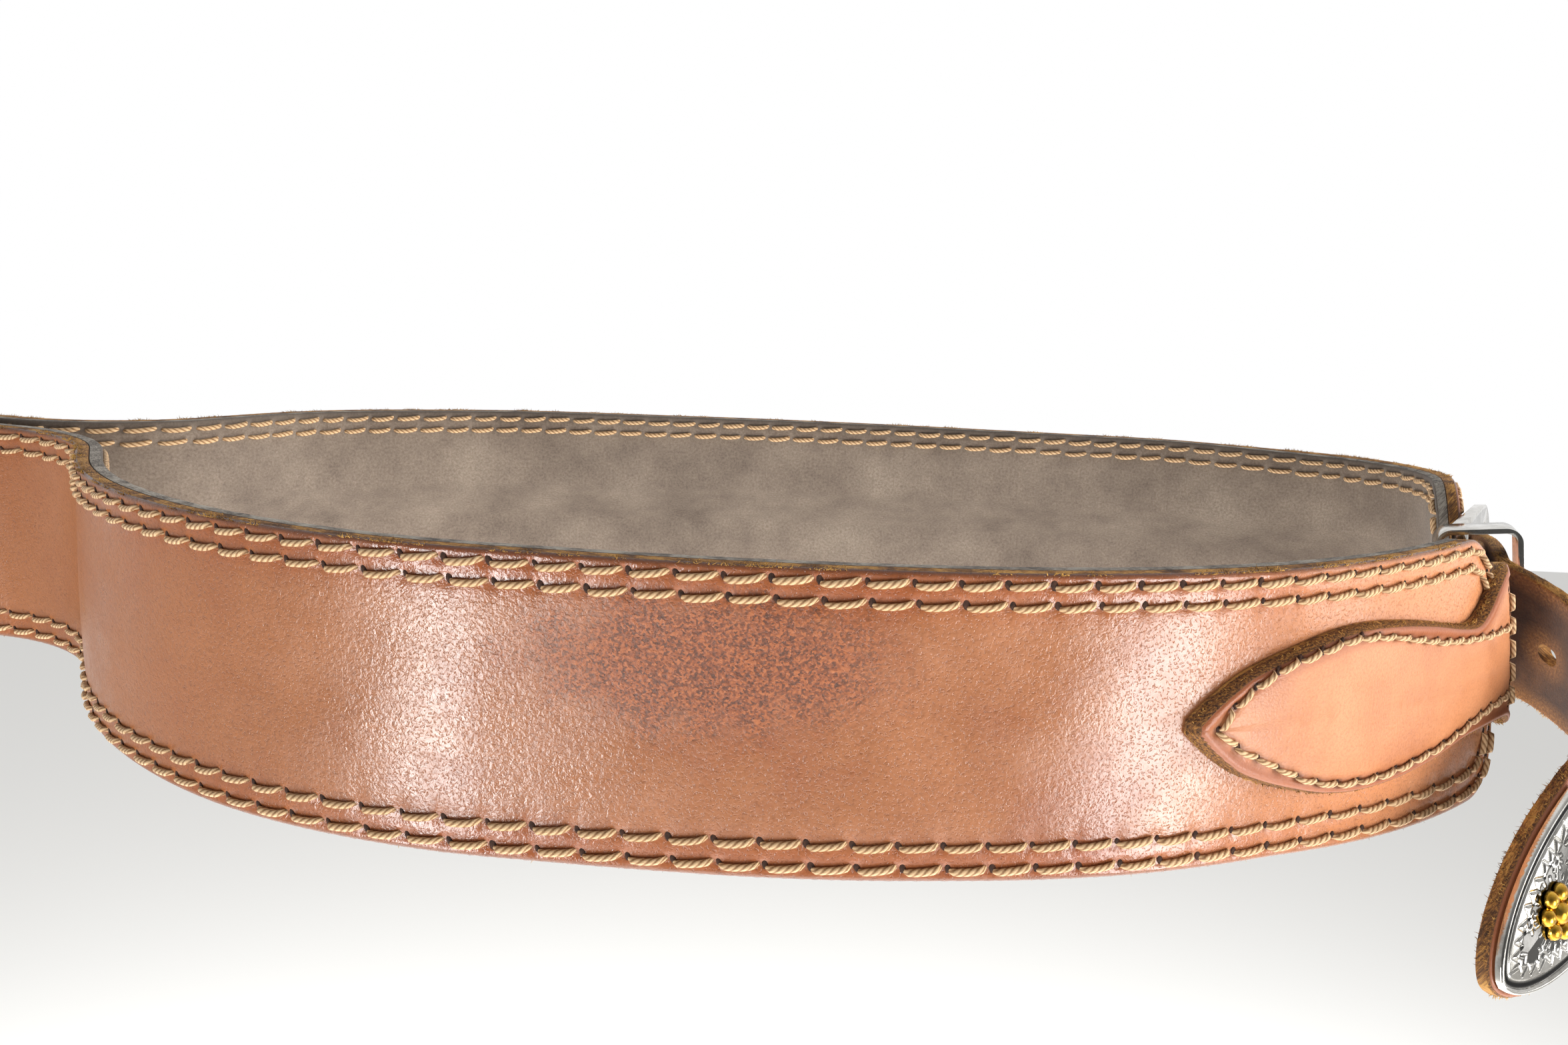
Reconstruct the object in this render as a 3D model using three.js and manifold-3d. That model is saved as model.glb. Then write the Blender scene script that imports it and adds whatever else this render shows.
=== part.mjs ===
// A western belt, worn and fastened: a wide two-ply leather band with a pointed billet on each end, a buckle,
// a metal keeper, and a free end that hangs down with a silver tip.
// Millimetres, +Z up. The origin is the middle of the hollow where the waist goes.
import * as THREE from "three";
import Module from "manifold-3d";
import { mergeVertices } from "three/addons/utils/BufferGeometryUtils.js";

const wasm = await Module();
wasm.setup();

// Leather
const BAND_TALL = 45;
const BAND_THICK = 2.6;
const LINING_THICK = 2.0;
const STRAP_TALL = 25.4;
const STRAP_THICK = 2.6;
const CLEAR = 0.3;
const SOFT_EDGE = 0.6;

// The band's outer face in plan, clockwise from above, as corners that are rounded by a radius.
// The buckle lies on the straight run that ends at the first corner.
const BENDS = [
  { name: "right of the back", x: 127.2, y: -33.6, radius: 42 },
  { name: "back right", x: 80.5, y: -79.4, radius: 150 },
  { name: "back middle", x: -0.9, y: -87.6, radius: 260 },
  { name: "back left", x: -100.7, y: -78.1, radius: 112 },
  { name: "into the fold", x: -144, y: 6.4, radius: 45 },
  { name: "fold's end, back", x: -208.0, y: 21.3, radius: 8 },
  { name: "fold's end, front", x: -206.0, y: 37.4, radius: 8 },
  { name: "out of the fold", x: -146, y: 23.5, radius: 31 },
  { name: "left of the front", x: -116, y: 66, radius: 60 },
  { name: "front left", x: -72, y: 85, radius: 100 },
  { name: "front middle", x: 10, y: 92, radius: 400 },
  { name: "front right", x: 98, y: 86, radius: 90 },
  { name: "right of the front", x: 163.5, y: 64.6, radius: 30 },
];

// Places along the belt from the buckle's bar: positive towards the back, negative towards the front
const BAR_FROM_BEND = 46;
const BAND_START = 48;
const BAND_END = -10.5;
const BAND_CORNER = 12;
const KEEPER_AT = 9;
const BUCKLE_LEAF_TIP = 128.6;
const TONGUE_LEAF_TIP = -128;

// The belt's right side leans in at the top
const LEAN = [
  { at: -110, degrees: 0 },
  { at: -60, degrees: 7 },
  { at: 60, degrees: 7 },
  { at: 110, degrees: 0 },
];

// Pointed end of a billet, sewn on the band: half its height by the distance from its tip
const LEAF = [
  { from_tip: 0, half: 1.0 },
  { from_tip: 3, half: 3.8 },
  { from_tip: 8, half: 7.3 },
  { from_tip: 13, half: 9.4 },
  { from_tip: 19, half: 11.2 },
  { from_tip: 25, half: 12.6 },
  { from_tip: 32, half: 13.2 },
  { from_tip: 41, half: 12.7 },
  { from_tip: 50, half: 11.5 },
  { from_tip: 60, half: 9.7 },
  { from_tip: 66, half: 9.3 },
  { from_tip: 71, half: 11.3 },
  { from_tip: 76, half: 14.6 },
  { from_tip: 81, half: 16.4 },
];
const BUCKLE_LEAF = [
  ...LEAF,
  { from_tip: 87, half: 16.4 },
  { from_tip: 94, half: 14.4 },
  { from_tip: 104, half: STRAP_TALL / 2 },
];
const TONGUE_LEAF = [
  ...LEAF,
  { from_tip: 86, half: 16.2 },
  { from_tip: 91, half: 14.0 },
  { from_tip: 97, half: STRAP_TALL / 2 },
];

// The tongue's middle where it passes the buckle and the keeper, outwards of the band's face
const TONGUE_LOW = CLEAR + STRAP_THICK / 2;
const TONGUE_HIGH = TONGUE_LOW + STRAP_THICK + CLEAR;
const TONGUE_RISE = [
  { at: -22, offset: TONGUE_LOW, drop: 0 },
  { at: -12, offset: (TONGUE_LOW + TONGUE_HIGH) / 2, drop: 0 },
  { at: -3, offset: TONGUE_HIGH, drop: 0 },
  { at: 8, offset: TONGUE_HIGH, drop: 0.2 },
  { at: 14, offset: TONGUE_HIGH, drop: 1.0 },
];

// The inner face of the buckle's billet, and the outer face of its turned-back end
const BILLET_LAYERS = [
  { at: 0, front: CLEAR, back: -3.3 },
  { at: 14, front: -1.1, back: -1.9 },
  { at: 37, front: -1.1, back: -1.9 },
  { at: 47, front: CLEAR, back: -1.9 },
];
const BILLET_BACK_STOPS = [5, 9.5, 14, 24, 34, 44.5];
const FOLD_STEPS = 8;

// The free end: the place where it hangs clear, its heading from there, and how it curls
const FREE_PLACE = new THREE.Vector3(146.7, -15.4, -3.3);
const FREE_HEADING = 12.1;
const FREE_DROOP = 14.9;
const FREE_LEAN = 10.5;
const FREE_BRIDGE_STEPS = 5;
const CURL_LONG = 50.5;
const CURL_TURN = 66.1;
const CURL_SLANT = 23.5;
const CURL_STEPS = 15;
const TIP_LONG = 35.5;
const TIP_TAPER = 29.6;
const TIP_BLUNT = 0.56;

// Where the straps, a rounded end and a point are cut into sections
const LONG_STEP = 4;
const POINT_STEP = 1.5;
const POINT_REACH = 6;
const BAND_STEP = 9;
const BAND_TURN = 0.14;
const BAND_CORNER_STOPS = [0, 0.3, 1.2, 2.8, 5.2, 8.2];
const FREE_POINT_STOPS = [29, 25, 21, 17, 13.5, 10.5, 8, 6, 4.2, 2.8, 1.6, 0.8, 0.3, 0.05];
const PLATE_POINT_STOPS = [0.2, 1, 2.4, 4.4, 7, 10, 14, 18.5, 23.5, 29];

// Punched holes in the tongue, along it from the bar
const HOLE_PLACES = [-5.4, 26.6, 58.6];
const HOLE_LONG = 5.0;
const HOLE_TALL = 3.4;

// Buckle
const BAR_RADIUS = 1.5;
const BAR_OFFSET = -1.5;
const FRAME_TALL = 34;
const FRAME_SIDE = 3.7;
const FRAME_END = 4.4;
const FRAME_THICK = 2.2;
const FRAME_REACH = 25;
const FRAME_END_OFFSET = 5.3;
const FRAME_TAIL = 3.2;
const FRAME_CORNER = 5;
const FRAME_INNER_CORNER = 2;
const EYE_WALL = 1.3;
const EYE_TALL = 3.2;
const SLOT_TALL = 4.4;
const SLOT_LONG = 14;
const SLOT_AT = 2;
const PRONG_RADIUS = 1.2;
const PRONG_STEPS = 26;
const PRONG_SIDES = 10;
const PRONG = [
  { reach: 2.8, offset: -1.5 },
  { reach: 4.6, offset: -0.4 },
  { reach: 5.3, offset: 2.0 },
  { reach: 5.6, offset: 4.6 },
  { reach: 6.9, offset: 6.9 },
  { reach: 10, offset: 8.3 },
  { reach: 16, offset: 8.6 },
  { reach: 21, offset: 8.6 },
  { reach: 26.6, offset: 8.7 },
];

// Keeper
const KEEPER_LONG = 8;
const KEEPER_TALL = 33;
const KEEPER_RAISED = 1.0;
const KEEPER_THICK = 1.0;
const KEEPER_CORNER = 3.0;
const KEEPER_ROOM = 1.5;
const KEEPER_EXIT = KEEPER_AT + KEEPER_LONG / 2 + 1;

// Silver tip
const PLATE_LONG = 33.5;
const PLATE_MARGIN = 0.8;
const PLATE_THICK = 0.9;
const RIM_WIDE = 1.7;
const RIM_HIGH = 0.8;
const POINT_HALF = 0.3;
const POINT_SHIFT = 0.4;
const ORNAMENT_FROM_TIP = 17.5;
const PETALS = 7;
const PETAL_RADIUS = 1.5;
const PETAL_RING = 3.1;
const BOSS_RADIUS = 2.0;
const DOME_FLAT = 0.8;
const DOME_RAISED = 0.2;
const DOME_SIDES = 12;
const DOME_RINGS = 6;

const UP = new THREE.Vector3(0, 0, 1);
const radians = THREE.MathUtils.degToRad;

// The course in plan as straight runs and arcs, each with the length at which it starts
function layCourse() {
  const count = BENDS.length;
  const corners = BENDS.map((row) => new THREE.Vector2(row.x, row.y));
  const runs = corners.map((corner, i) => corners[(i + 1) % count].clone().sub(corner).normalize());
  const turns = runs.map((run, i) => {
    const before = runs[(i + count - 1) % count];
    return Math.atan2(before.cross(run), before.dot(run));
  });
  const cuts = turns.map((turn, i) => BENDS[i].radius * Math.tan(Math.abs(turn) / 2));
  const arrival = runs[count - 1];
  const start = corners[0].clone().addScaledVector(arrival, -BAR_FROM_BEND);
  const pieces = [];
  let length = 0;
  const add = (at, run, long, turn) => {
    pieces.push({ at, run, long, turn, from: length });
    length += long;
  };
  add(start, arrival, BAR_FROM_BEND - cuts[0], 0);
  for (let i = 0; i < count; i += 1) {
    const before = runs[(i + count - 1) % count];
    const next = (i + 1) % count;
    const enter = corners[i].clone().addScaledVector(before, -cuts[i]);
    add(enter, before, BENDS[i].radius * Math.abs(turns[i]), turns[i]);
    const leave = corners[i].clone().addScaledVector(runs[i], cuts[i]);
    const goal = next === 0 ? start : corners[next].clone().addScaledVector(runs[i], -cuts[next]);
    add(leave, runs[i], leave.distanceTo(goal), 0);
  }
  return { pieces, length };
}

const course = layCourse();

// A station on the course: its place, the way along it, and the way out of the belt
function courseAt(along) {
  const s = THREE.MathUtils.euclideanModulo(along, course.length);
  const piece = course.pieces.findLast((candidate) => candidate.from <= s + 1e-9);
  const into = s - piece.from;
  const at = piece.at.clone();
  const way = piece.run.clone();
  if (piece.turn === 0) {
    at.addScaledVector(way, into);
  } else {
    const turned = (piece.turn * into) / piece.long;
    const radius = piece.long / piece.turn;
    const side = new THREE.Vector2(-way.y, way.x);
    at.addScaledVector(way, radius * Math.sin(turned)).addScaledVector(side, radius * (1 - Math.cos(turned)));
    way.rotateAround(new THREE.Vector2(), turned);
  }
  const fromBar = s > course.length / 2 ? s - course.length : s;
  const lean = radians(fromTable(LEAN, "at", "degrees", fromBar));
  const direction = new THREE.Vector3(way.x, way.y, 0);
  return {
    place: new THREE.Vector3(at.x, at.y, 0),
    along: direction,
    out: new THREE.Vector3(-way.y, way.x, 0).applyAxisAngle(direction, lean),
    across: UP.clone().applyAxisAngle(direction, lean),
  };
}

// A place beside the course, outwards and upwards of it
function beside(along, outwards, upwards = 0) {
  const station = courseAt(along);
  const place = station.place.clone().addScaledVector(station.out, outwards);
  return place.addScaledVector(station.across, upwards);
}

// Positions along the course, closer together where it bends
function positions(from, to, longest, turn) {
  const list = [from];
  while (list[list.length - 1] < to) {
    const s = list[list.length - 1];
    const bend = courseAt(s).along.angleTo(courseAt(s + 1).along);
    const step = Math.min(longest, turn / Math.max(bend, 1e-6));
    list.push(s + step > to - 0.5 ? to : s + step);
  }
  return list;
}

// Hermite weights for a start, its slope, an end and its slope
function hermite(t) {
  return [2 * t ** 3 - 3 * t ** 2 + 1, t ** 3 - 2 * t ** 2 + t, -2 * t ** 3 + 3 * t ** 2, t ** 3 - t ** 2];
}

// A smooth value from a table's column, read at a position in another column
function fromTable(rows, column, value, position) {
  const last = rows.length - 1;
  if (position <= rows[0][column]) return rows[0][value];
  if (position >= rows[last][column]) return rows[last][value];
  const i = rows.findLastIndex((row) => row[column] <= position);
  const slope = (k) => {
    const before = rows[Math.max(k - 1, 0)];
    const after = rows[Math.min(k + 1, last)];
    return (after[value] - before[value]) / (after[column] - before[column]);
  };
  const span = rows[i + 1][column] - rows[i][column];
  const weights = hermite((position - rows[i][column]) / span);
  const parts = [rows[i][value], span * slope(i), rows[i + 1][value], span * slope(i + 1)];
  return parts.reduce((sum, part, k) => sum + part * weights[k], 0);
}

// A closed body through rings of equal count, capped at both ends.
// The two halves of a ring are split along mirrored diagonals, so that plies with a twist stay parallel.
function loft(rings) {
  const count = rings[0].length;
  const vertices = rings.flat().flatMap((point) => point.toArray());
  const faces = [];
  for (let i = 0; i < rings.length - 1; i += 1) {
    for (let j = 0; j < count; j += 1) {
      const k = (j + 1) % count;
      const [a, b, c, d] = [i * count + j, i * count + k, (i + 1) * count + k, (i + 1) * count + j];
      faces.push(...(j < count / 2 ? [a, b, c, a, c, d] : [a, b, d, b, c, d]));
    }
  }
  const cap = (base, forwards) => {
    for (let j = 1; j < count - 1; j += 1) {
      faces.push(...(forwards ? [base, base + j, base + j + 1] : [base, base + j + 1, base + j]));
    }
  };
  cap(0, false);
  cap((rings.length - 1) * count, true);
  const geometry = new THREE.BufferGeometry();
  geometry.setAttribute("position", new THREE.Float32BufferAttribute(vertices, 3));
  geometry.setIndex(faces);
  return geometry;
}

// A strap's section at a station: from its inner to its outer side, with softened edges
function section(station, half, inner, outer, soft = SOFT_EDGE) {
  const b = Math.min(soft, half / 3);
  const corners = [
    [inner, b - half], [inner + b, -half], [outer - b, -half], [outer, b - half],
    [outer, half - b], [outer - b, half], [inner + b, half], [inner, half - b],
  ];
  return corners.map(([outwards, upwards]) => station.place.clone()
    .addScaledVector(station.out, outwards).addScaledVector(station.across, upwards));
}

function toSolid(geometry) {
  const bare = geometry.clone();
  bare.deleteAttribute("normal");
  bare.deleteAttribute("uv");
  const merged = mergeVertices(bare, 1e-4);
  return new wasm.Manifold(new wasm.Mesh({
    numProp: 3,
    vertProperties: new Float32Array(merged.attributes.position.array),
    triVerts: new Uint32Array(merged.index.array),
  }));
}

function fromSolid(solid) {
  const mesh = solid.getMesh();
  const geometry = new THREE.BufferGeometry();
  geometry.setAttribute("position", new THREE.BufferAttribute(new Float32Array(mesh.vertProperties), 3));
  geometry.setIndex(new THREE.BufferAttribute(new Uint32Array(mesh.triVerts), 1));
  return geometry;
}

function extrude(shape, from, to, curveSegments = 8) {
  const geometry = new THREE.ExtrudeGeometry(shape, { depth: to - from, bevelEnabled: false, curveSegments });
  return geometry.translate(0, 0, from);
}

// One ply of the band, between two offsets from the band's outer face, with rounded corners at its ends
function ply(inner, outer) {
  const end = course.length + BAND_END;
  const half = (s) => {
    const short = Math.max(0, BAND_CORNER - Math.min(s - BAND_START, end - s));
    return BAND_TALL / 2 - BAND_CORNER + Math.sqrt(BAND_CORNER ** 2 - short ** 2);
  };
  const list = [
    ...BAND_CORNER_STOPS.map((step) => BAND_START + step),
    ...positions(BAND_START + BAND_CORNER, end - BAND_CORNER, BAND_STEP, BAND_TURN),
    ...BAND_CORNER_STOPS.map((step) => end - step).reverse(),
  ];
  return loft(list.map((s) => section(courseAt(s), half(s), inner, outer)));
}

// Lengths from a leaf's tip at which it gets a section, closer together at the point
function leafStops(long) {
  const stops = [];
  for (let at = 0; at < long; at += at < POINT_REACH ? POINT_STEP : LONG_STEP) stops.push(at);
  return stops;
}

// The leather that carries the buckle: its leaf, its strap, and its fold round the bar
function buckleBillet() {
  const rings = [];
  for (const fromTip of leafStops(BUCKLE_LEAF_TIP - 1)) {
    const s = BUCKLE_LEAF_TIP - fromTip;
    const half = fromTable(BUCKLE_LEAF, "from_tip", "half", fromTip);
    const inner = fromTable(BILLET_LAYERS, "at", "front", s);
    rings.push(section(courseAt(s), half, inner, inner + STRAP_THICK));
  }
  const bar = { ...courseAt(0), place: beside(0, BAR_OFFSET) };
  const inner = BAR_RADIUS + CLEAR;
  for (let i = 0; i <= FOLD_STEPS; i += 1) {
    const out = bar.out.clone().applyAxisAngle(bar.across, (Math.PI * i) / FOLD_STEPS);
    rings.push(section({ ...bar, out }, STRAP_TALL / 2, inner, inner + STRAP_THICK));
  }
  for (const s of BILLET_BACK_STOPS) {
    const station = courseAt(s);
    const back = fromTable(BILLET_LAYERS, "at", "back", s);
    const turned = { ...station, out: station.out.clone().negate() };
    rings.push(section(turned, STRAP_TALL / 2, -back, STRAP_THICK - back));
  }
  const slot = new THREE.BoxGeometry(SLOT_LONG, SLOT_LONG, SLOT_TALL);
  slot.applyMatrix4(onCourse(SLOT_AT, BAR_OFFSET));
  return fromSolid(toSolid(loft(rings.reverse())).subtract(toSolid(slot)));
}

// A basis on the course: X towards the front of the belt, Y out of it, Z up
function onCourse(along, outwards, upwards = 0) {
  const station = courseAt(along);
  const back = station.along.clone().negate();
  const basis = new THREE.Matrix4().makeBasis(back, station.out.clone().negate(), station.across);
  return basis.setPosition(beside(along, outwards, upwards));
}

// Half the height of the free end near its point, by the length left to it
function tipHalf(left) {
  const taken = 1 - Math.min(1, left / TIP_TAPER);
  return (STRAP_TALL / 2) * (1 - taken ** 2) ** TIP_BLUNT;
}

// A strap's frame at a place, from its heading, its droop and its lean
function freeStart() {
  const [heading, droop] = [radians(FREE_HEADING), radians(FREE_DROOP)];
  const along = new THREE.Vector3(Math.sin(heading), -Math.cos(heading), -Math.tan(droop)).normalize();
  const across = UP.clone().addScaledVector(along, -UP.dot(along)).normalize();
  across.applyAxisAngle(along, radians(FREE_LEAN));
  return { place: FREE_PLACE.clone(), along, across, out: across.clone().cross(along) };
}

// Stations from one to another on a smooth curve
function bridge(from, to, steps) {
  const reach = from.place.distanceTo(to.place);
  const stations = [];
  for (let i = 1; i < steps; i += 1) {
    const t = i / steps;
    const weights = hermite(t);
    const place = from.place.clone().multiplyScalar(weights[0])
      .addScaledVector(from.along, weights[1] * reach)
      .addScaledVector(to.place, weights[2])
      .addScaledVector(to.along, weights[3] * reach);
    const along = from.along.clone().lerp(to.along, t).normalize();
    const across = from.across.clone().lerp(to.across, t);
    across.addScaledVector(along, -across.dot(along)).normalize();
    stations.push({ place, along, across, out: across.clone().cross(along), half: STRAP_TALL / 2 });
  }
  return stations;
}

// Stations of the curl, which turns about a line slanting across the strap, then of the flat tip
function hangDown(start) {
  const slant = radians(CURL_SLANT);
  const axis = start.across.clone().multiplyScalar(Math.cos(slant));
  axis.addScaledVector(start.along, -Math.sin(slant));
  const total = CURL_LONG + TIP_LONG;
  const turn = -radians(CURL_TURN) / CURL_STEPS;
  const step = CURL_LONG / CURL_STEPS;
  const stations = [{ ...start, half: STRAP_TALL / 2, left: total }];
  for (let i = 1; i <= CURL_STEPS; i += 1) {
    const last = stations[stations.length - 1];
    const middle = last.along.clone().applyAxisAngle(axis, turn / 2);
    const left = total - i * step;
    stations.push({
      place: last.place.clone().addScaledVector(middle, step),
      along: last.along.clone().applyAxisAngle(axis, turn),
      across: last.across.clone().applyAxisAngle(axis, turn),
      out: last.out.clone().applyAxisAngle(axis, turn),
      half: tipHalf(left),
      left,
    });
  }
  const flat = stations[stations.length - 1];
  for (const left of FREE_POINT_STOPS) {
    const place = flat.place.clone().addScaledVector(flat.along, TIP_LONG - left);
    stations.push({ ...flat, place, half: tipHalf(left), left });
  }
  return stations;
}

// Stations of the tongue from its leaf on the front of the belt to the keeper
function tongueOnBelt() {
  return leafStops(KEEPER_EXIT - 1 - TONGUE_LEAF_TIP).map((stop) => tongueStation(TONGUE_LEAF_TIP + stop));
}

// Stations of the tongue from the keeper to the hanging tip
function tongueOffBelt() {
  const last = tongueStation(KEEPER_EXIT);
  const start = freeStart();
  return [last, ...bridge(last, start, FREE_BRIDGE_STEPS), ...hangDown(start)];
}

// One station of the tongue while it follows the belt
function tongueStation(s) {
  const station = courseAt(s);
  const offset = fromTable(TONGUE_RISE, "at", "offset", s);
  const drop = fromTable(TONGUE_RISE, "at", "drop", s);
  const half = fromTable(TONGUE_LEAF, "from_tip", "half", s - TONGUE_LEAF_TIP);
  return { ...station, place: beside(s, offset, -drop), half };
}

const hanging = tongueOffBelt();
const tongue = [...tongueOnBelt(), ...hanging];

// The tongue's station at a length along it from the bar
function tongueAt(fromBar) {
  if (fromBar <= KEEPER_EXIT) return tongueStation(fromBar);
  let gone = KEEPER_EXIT;
  for (let i = 1; i < hanging.length; i += 1) {
    const [a, b] = [hanging[i - 1], hanging[i]];
    const step = a.place.distanceTo(b.place);
    if (gone + step >= fromBar) {
      return { ...a, place: a.place.clone().lerp(b.place, (fromBar - gone) / step) };
    }
    gone += step;
  }
  return hanging[hanging.length - 1];
}

// An oval punch through the tongue
function punch(fromBar) {
  const station = tongueAt(fromBar);
  const round = HOLE_TALL / 2;
  const straight = (HOLE_LONG - HOLE_TALL) / 2;
  const oval = new THREE.Shape();
  oval.absarc(straight, 0, round, -Math.PI / 2, Math.PI / 2, false);
  oval.absarc(-straight, 0, round, Math.PI / 2, 1.5 * Math.PI, false);
  const basis = new THREE.Matrix4().makeBasis(station.along, station.across, station.out.clone().negate());
  return toSolid(extrude(oval, -STRAP_THICK, STRAP_THICK, 6).applyMatrix4(basis.setPosition(station.place)));
}

// The leather with the holes: its leaf, its strap, and the free end
function tongueBillet() {
  const half = STRAP_THICK / 2;
  const whole = toSolid(loft(tongue.map((station) => section(station, station.half, -half, half))));
  return fromSolid(HOLE_PLACES.reduce((solid, place) => solid.subtract(punch(place)), whole));
}

// The buckle's frame: two sides and a far end that stand over the tongue, and the bar between the sides
function buckleFrame() {
  const climb = FRAME_END_OFFSET - BAR_OFFSET;
  const long = Math.hypot(FRAME_REACH, climb);
  const high = FRAME_TALL / 2;
  const innerHigh = high - FRAME_SIDE;
  const far = long + FRAME_END / 2;
  const innerFar = long - FRAME_END / 2;
  const [r, q] = [FRAME_CORNER, FRAME_INNER_CORNER];
  const outline = new THREE.Shape();
  outline.moveTo(-FRAME_TAIL, -high);
  outline.lineTo(far - r, -high);
  outline.absarc(far - r, r - high, r, -Math.PI / 2, 0, false);
  outline.absarc(far - r, high - r, r, 0, Math.PI / 2, false);
  outline.lineTo(-FRAME_TAIL, high);
  outline.lineTo(-FRAME_TAIL, innerHigh);
  outline.lineTo(innerFar - q, innerHigh);
  outline.absarc(innerFar - q, innerHigh - q, q, Math.PI / 2, 0, true);
  outline.absarc(innerFar - q, q - innerHigh, q, 0, -Math.PI / 2, true);
  outline.lineTo(-FRAME_TAIL, -innerHigh);
  const plate = extrude(outline, -FRAME_THICK / 2, FRAME_THICK / 2);
  const bar = new THREE.CylinderGeometry(BAR_RADIUS, BAR_RADIUS, FRAME_TALL - FRAME_SIDE, 16);
  const { along, out, across } = courseAt(0);
  const angle = Math.atan2(climb, FRAME_REACH);
  const run = along.clone().multiplyScalar(-Math.cos(angle)).addScaledVector(out, Math.sin(angle));
  const basis = new THREE.Matrix4().makeBasis(run, across, run.clone().cross(across));
  return fromSolid(toSolid(plate).add(toSolid(bar))).applyMatrix4(basis.setPosition(beside(0, BAR_OFFSET)));
}

// The prong: an eye round the bar, and a wire out through the tongue's hole to the frame's far end
function buckleProng() {
  const route = PRONG.map((row) => beside(-row.reach, row.offset));
  const curve = new THREE.CatmullRomCurve3(route, false, "centripetal");
  const { across } = courseAt(0);
  const rings = [];
  for (let i = 0; i <= PRONG_STEPS; i += 1) {
    const place = curve.getPointAt(i / PRONG_STEPS);
    const out = across.clone().cross(curve.getTangentAt(i / PRONG_STEPS)).normalize();
    const ring = [];
    for (let j = 0; j < PRONG_SIDES; j += 1) {
      const angle = (-2 * Math.PI * j) / PRONG_SIDES;
      ring.push(place.clone().addScaledVector(across, PRONG_RADIUS * Math.cos(angle))
        .addScaledVector(out, PRONG_RADIUS * Math.sin(angle)));
    }
    rings.push(ring);
  }
  const inner = BAR_RADIUS + CLEAR;
  const basis = onCourse(0, BAR_OFFSET);
  const upright = (radius, tall) => {
    const cylinder = new THREE.CylinderGeometry(radius, radius, tall, 16).rotateX(Math.PI / 2);
    return toSolid(cylinder.applyMatrix4(basis));
  };
  const joined = toSolid(loft(rings)).add(upright(inner + EYE_WALL, EYE_TALL));
  return fromSolid(joined.subtract(upright(inner, 2 * EYE_TALL)));
}

// A rounded rectangle as a path, by its limits and its corner radius
function roundedPath(path, left, right, high, radius) {
  path.absarc(right - radius, high - radius, radius, 0, Math.PI / 2, false);
  path.absarc(left + radius, high - radius, radius, Math.PI / 2, Math.PI, false);
  path.absarc(left + radius, radius - high, radius, Math.PI, 1.5 * Math.PI, false);
  path.absarc(right - radius, radius - high, radius, 1.5 * Math.PI, 2 * Math.PI, false);
  return path;
}

// The keeper: a band of metal right round both straps
function strapKeeper() {
  const left = BAR_OFFSET - BAR_RADIUS - STRAP_THICK - 2 * CLEAR;
  const right = TONGUE_HIGH + STRAP_THICK / 2 + KEEPER_ROOM;
  const high = KEEPER_TALL / 2;
  const t = KEEPER_THICK;
  const shape = roundedPath(new THREE.Shape(), left - t, right + t, high, KEEPER_CORNER);
  shape.holes.push(roundedPath(new THREE.Path(), left, right, high - t, KEEPER_CORNER - t));
  const { out, across } = courseAt(KEEPER_AT);
  const basis = new THREE.Matrix4().makeBasis(out, across, out.clone().cross(across));
  const ring = extrude(shape, -KEEPER_LONG / 2, KEEPER_LONG / 2, 6);
  return ring.applyMatrix4(basis.setPosition(beside(KEEPER_AT, 0, KEEPER_RAISED)));
}

// A basis on the free end's grain side: X back from the point, Y across, Z out
function onTip(fromTip) {
  const flat = tongue[tongue.length - 1];
  const back = flat.along.clone().negate();
  const point = flat.place.clone().addScaledVector(flat.along, flat.left);
  const out = flat.out.clone();
  const basis = new THREE.Matrix4().makeBasis(back, out.clone().cross(back), out);
  point.addScaledVector(back, fromTip).addScaledVector(out, STRAP_THICK / 2 + CLEAR);
  return basis.setPosition(point);
}

// The tip's outline as a path, set in from the leather's edge
function tipPath(path, inset, long) {
  const rows = PLATE_POINT_STOPS.map((left) => ({
    x: left + inset,
    y: Math.max(POINT_HALF, tipHalf(left + POINT_SHIFT * inset) - inset),
  }));
  path.moveTo(long, -rows[rows.length - 1].y);
  path.lineTo(long, rows[rows.length - 1].y);
  for (const row of [...rows].reverse()) path.lineTo(row.x, row.y);
  for (const row of rows) path.lineTo(row.x, -row.y);
  return path;
}

// The tip plate with its raised rim
function tipPlate() {
  const plate = extrude(tipPath(new THREE.Shape(), PLATE_MARGIN, PLATE_LONG), 0, PLATE_THICK);
  const rim = tipPath(new THREE.Shape(), PLATE_MARGIN, PLATE_LONG);
  rim.holes.push(tipPath(new THREE.Path(), PLATE_MARGIN + RIM_WIDE, PLATE_LONG - RIM_WIDE));
  const raised = extrude(rim, PLATE_THICK / 2, PLATE_THICK + RIM_HIGH);
  return fromSolid(toSolid(plate).add(toSolid(raised)).transform(onTip(0).toArray()));
}

// The ornament on the tip plate: a ring of round petals about a boss
function tipOrnament() {
  const base = PLATE_THICK + CLEAR;
  const dome = (radius, x, y) => {
    const sphere = new THREE.SphereGeometry(radius, DOME_SIDES, DOME_RINGS).scale(1, 1, DOME_FLAT);
    return toSolid(sphere.translate(x, y, base + DOME_RAISED));
  };
  let solid = dome(BOSS_RADIUS, 0, 0);
  for (let i = 0; i < PETALS; i += 1) {
    const angle = (2 * Math.PI * i) / PETALS;
    solid = solid.add(dome(PETAL_RADIUS, PETAL_RING * Math.cos(angle), PETAL_RING * Math.sin(angle)));
  }
  const below = toSolid(new THREE.BoxGeometry(20, 20, 10).translate(0, 0, base - 5));
  return fromSolid(solid.subtract(below).transform(onTip(ORNAMENT_FROM_TIP).toArray()));
}

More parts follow.
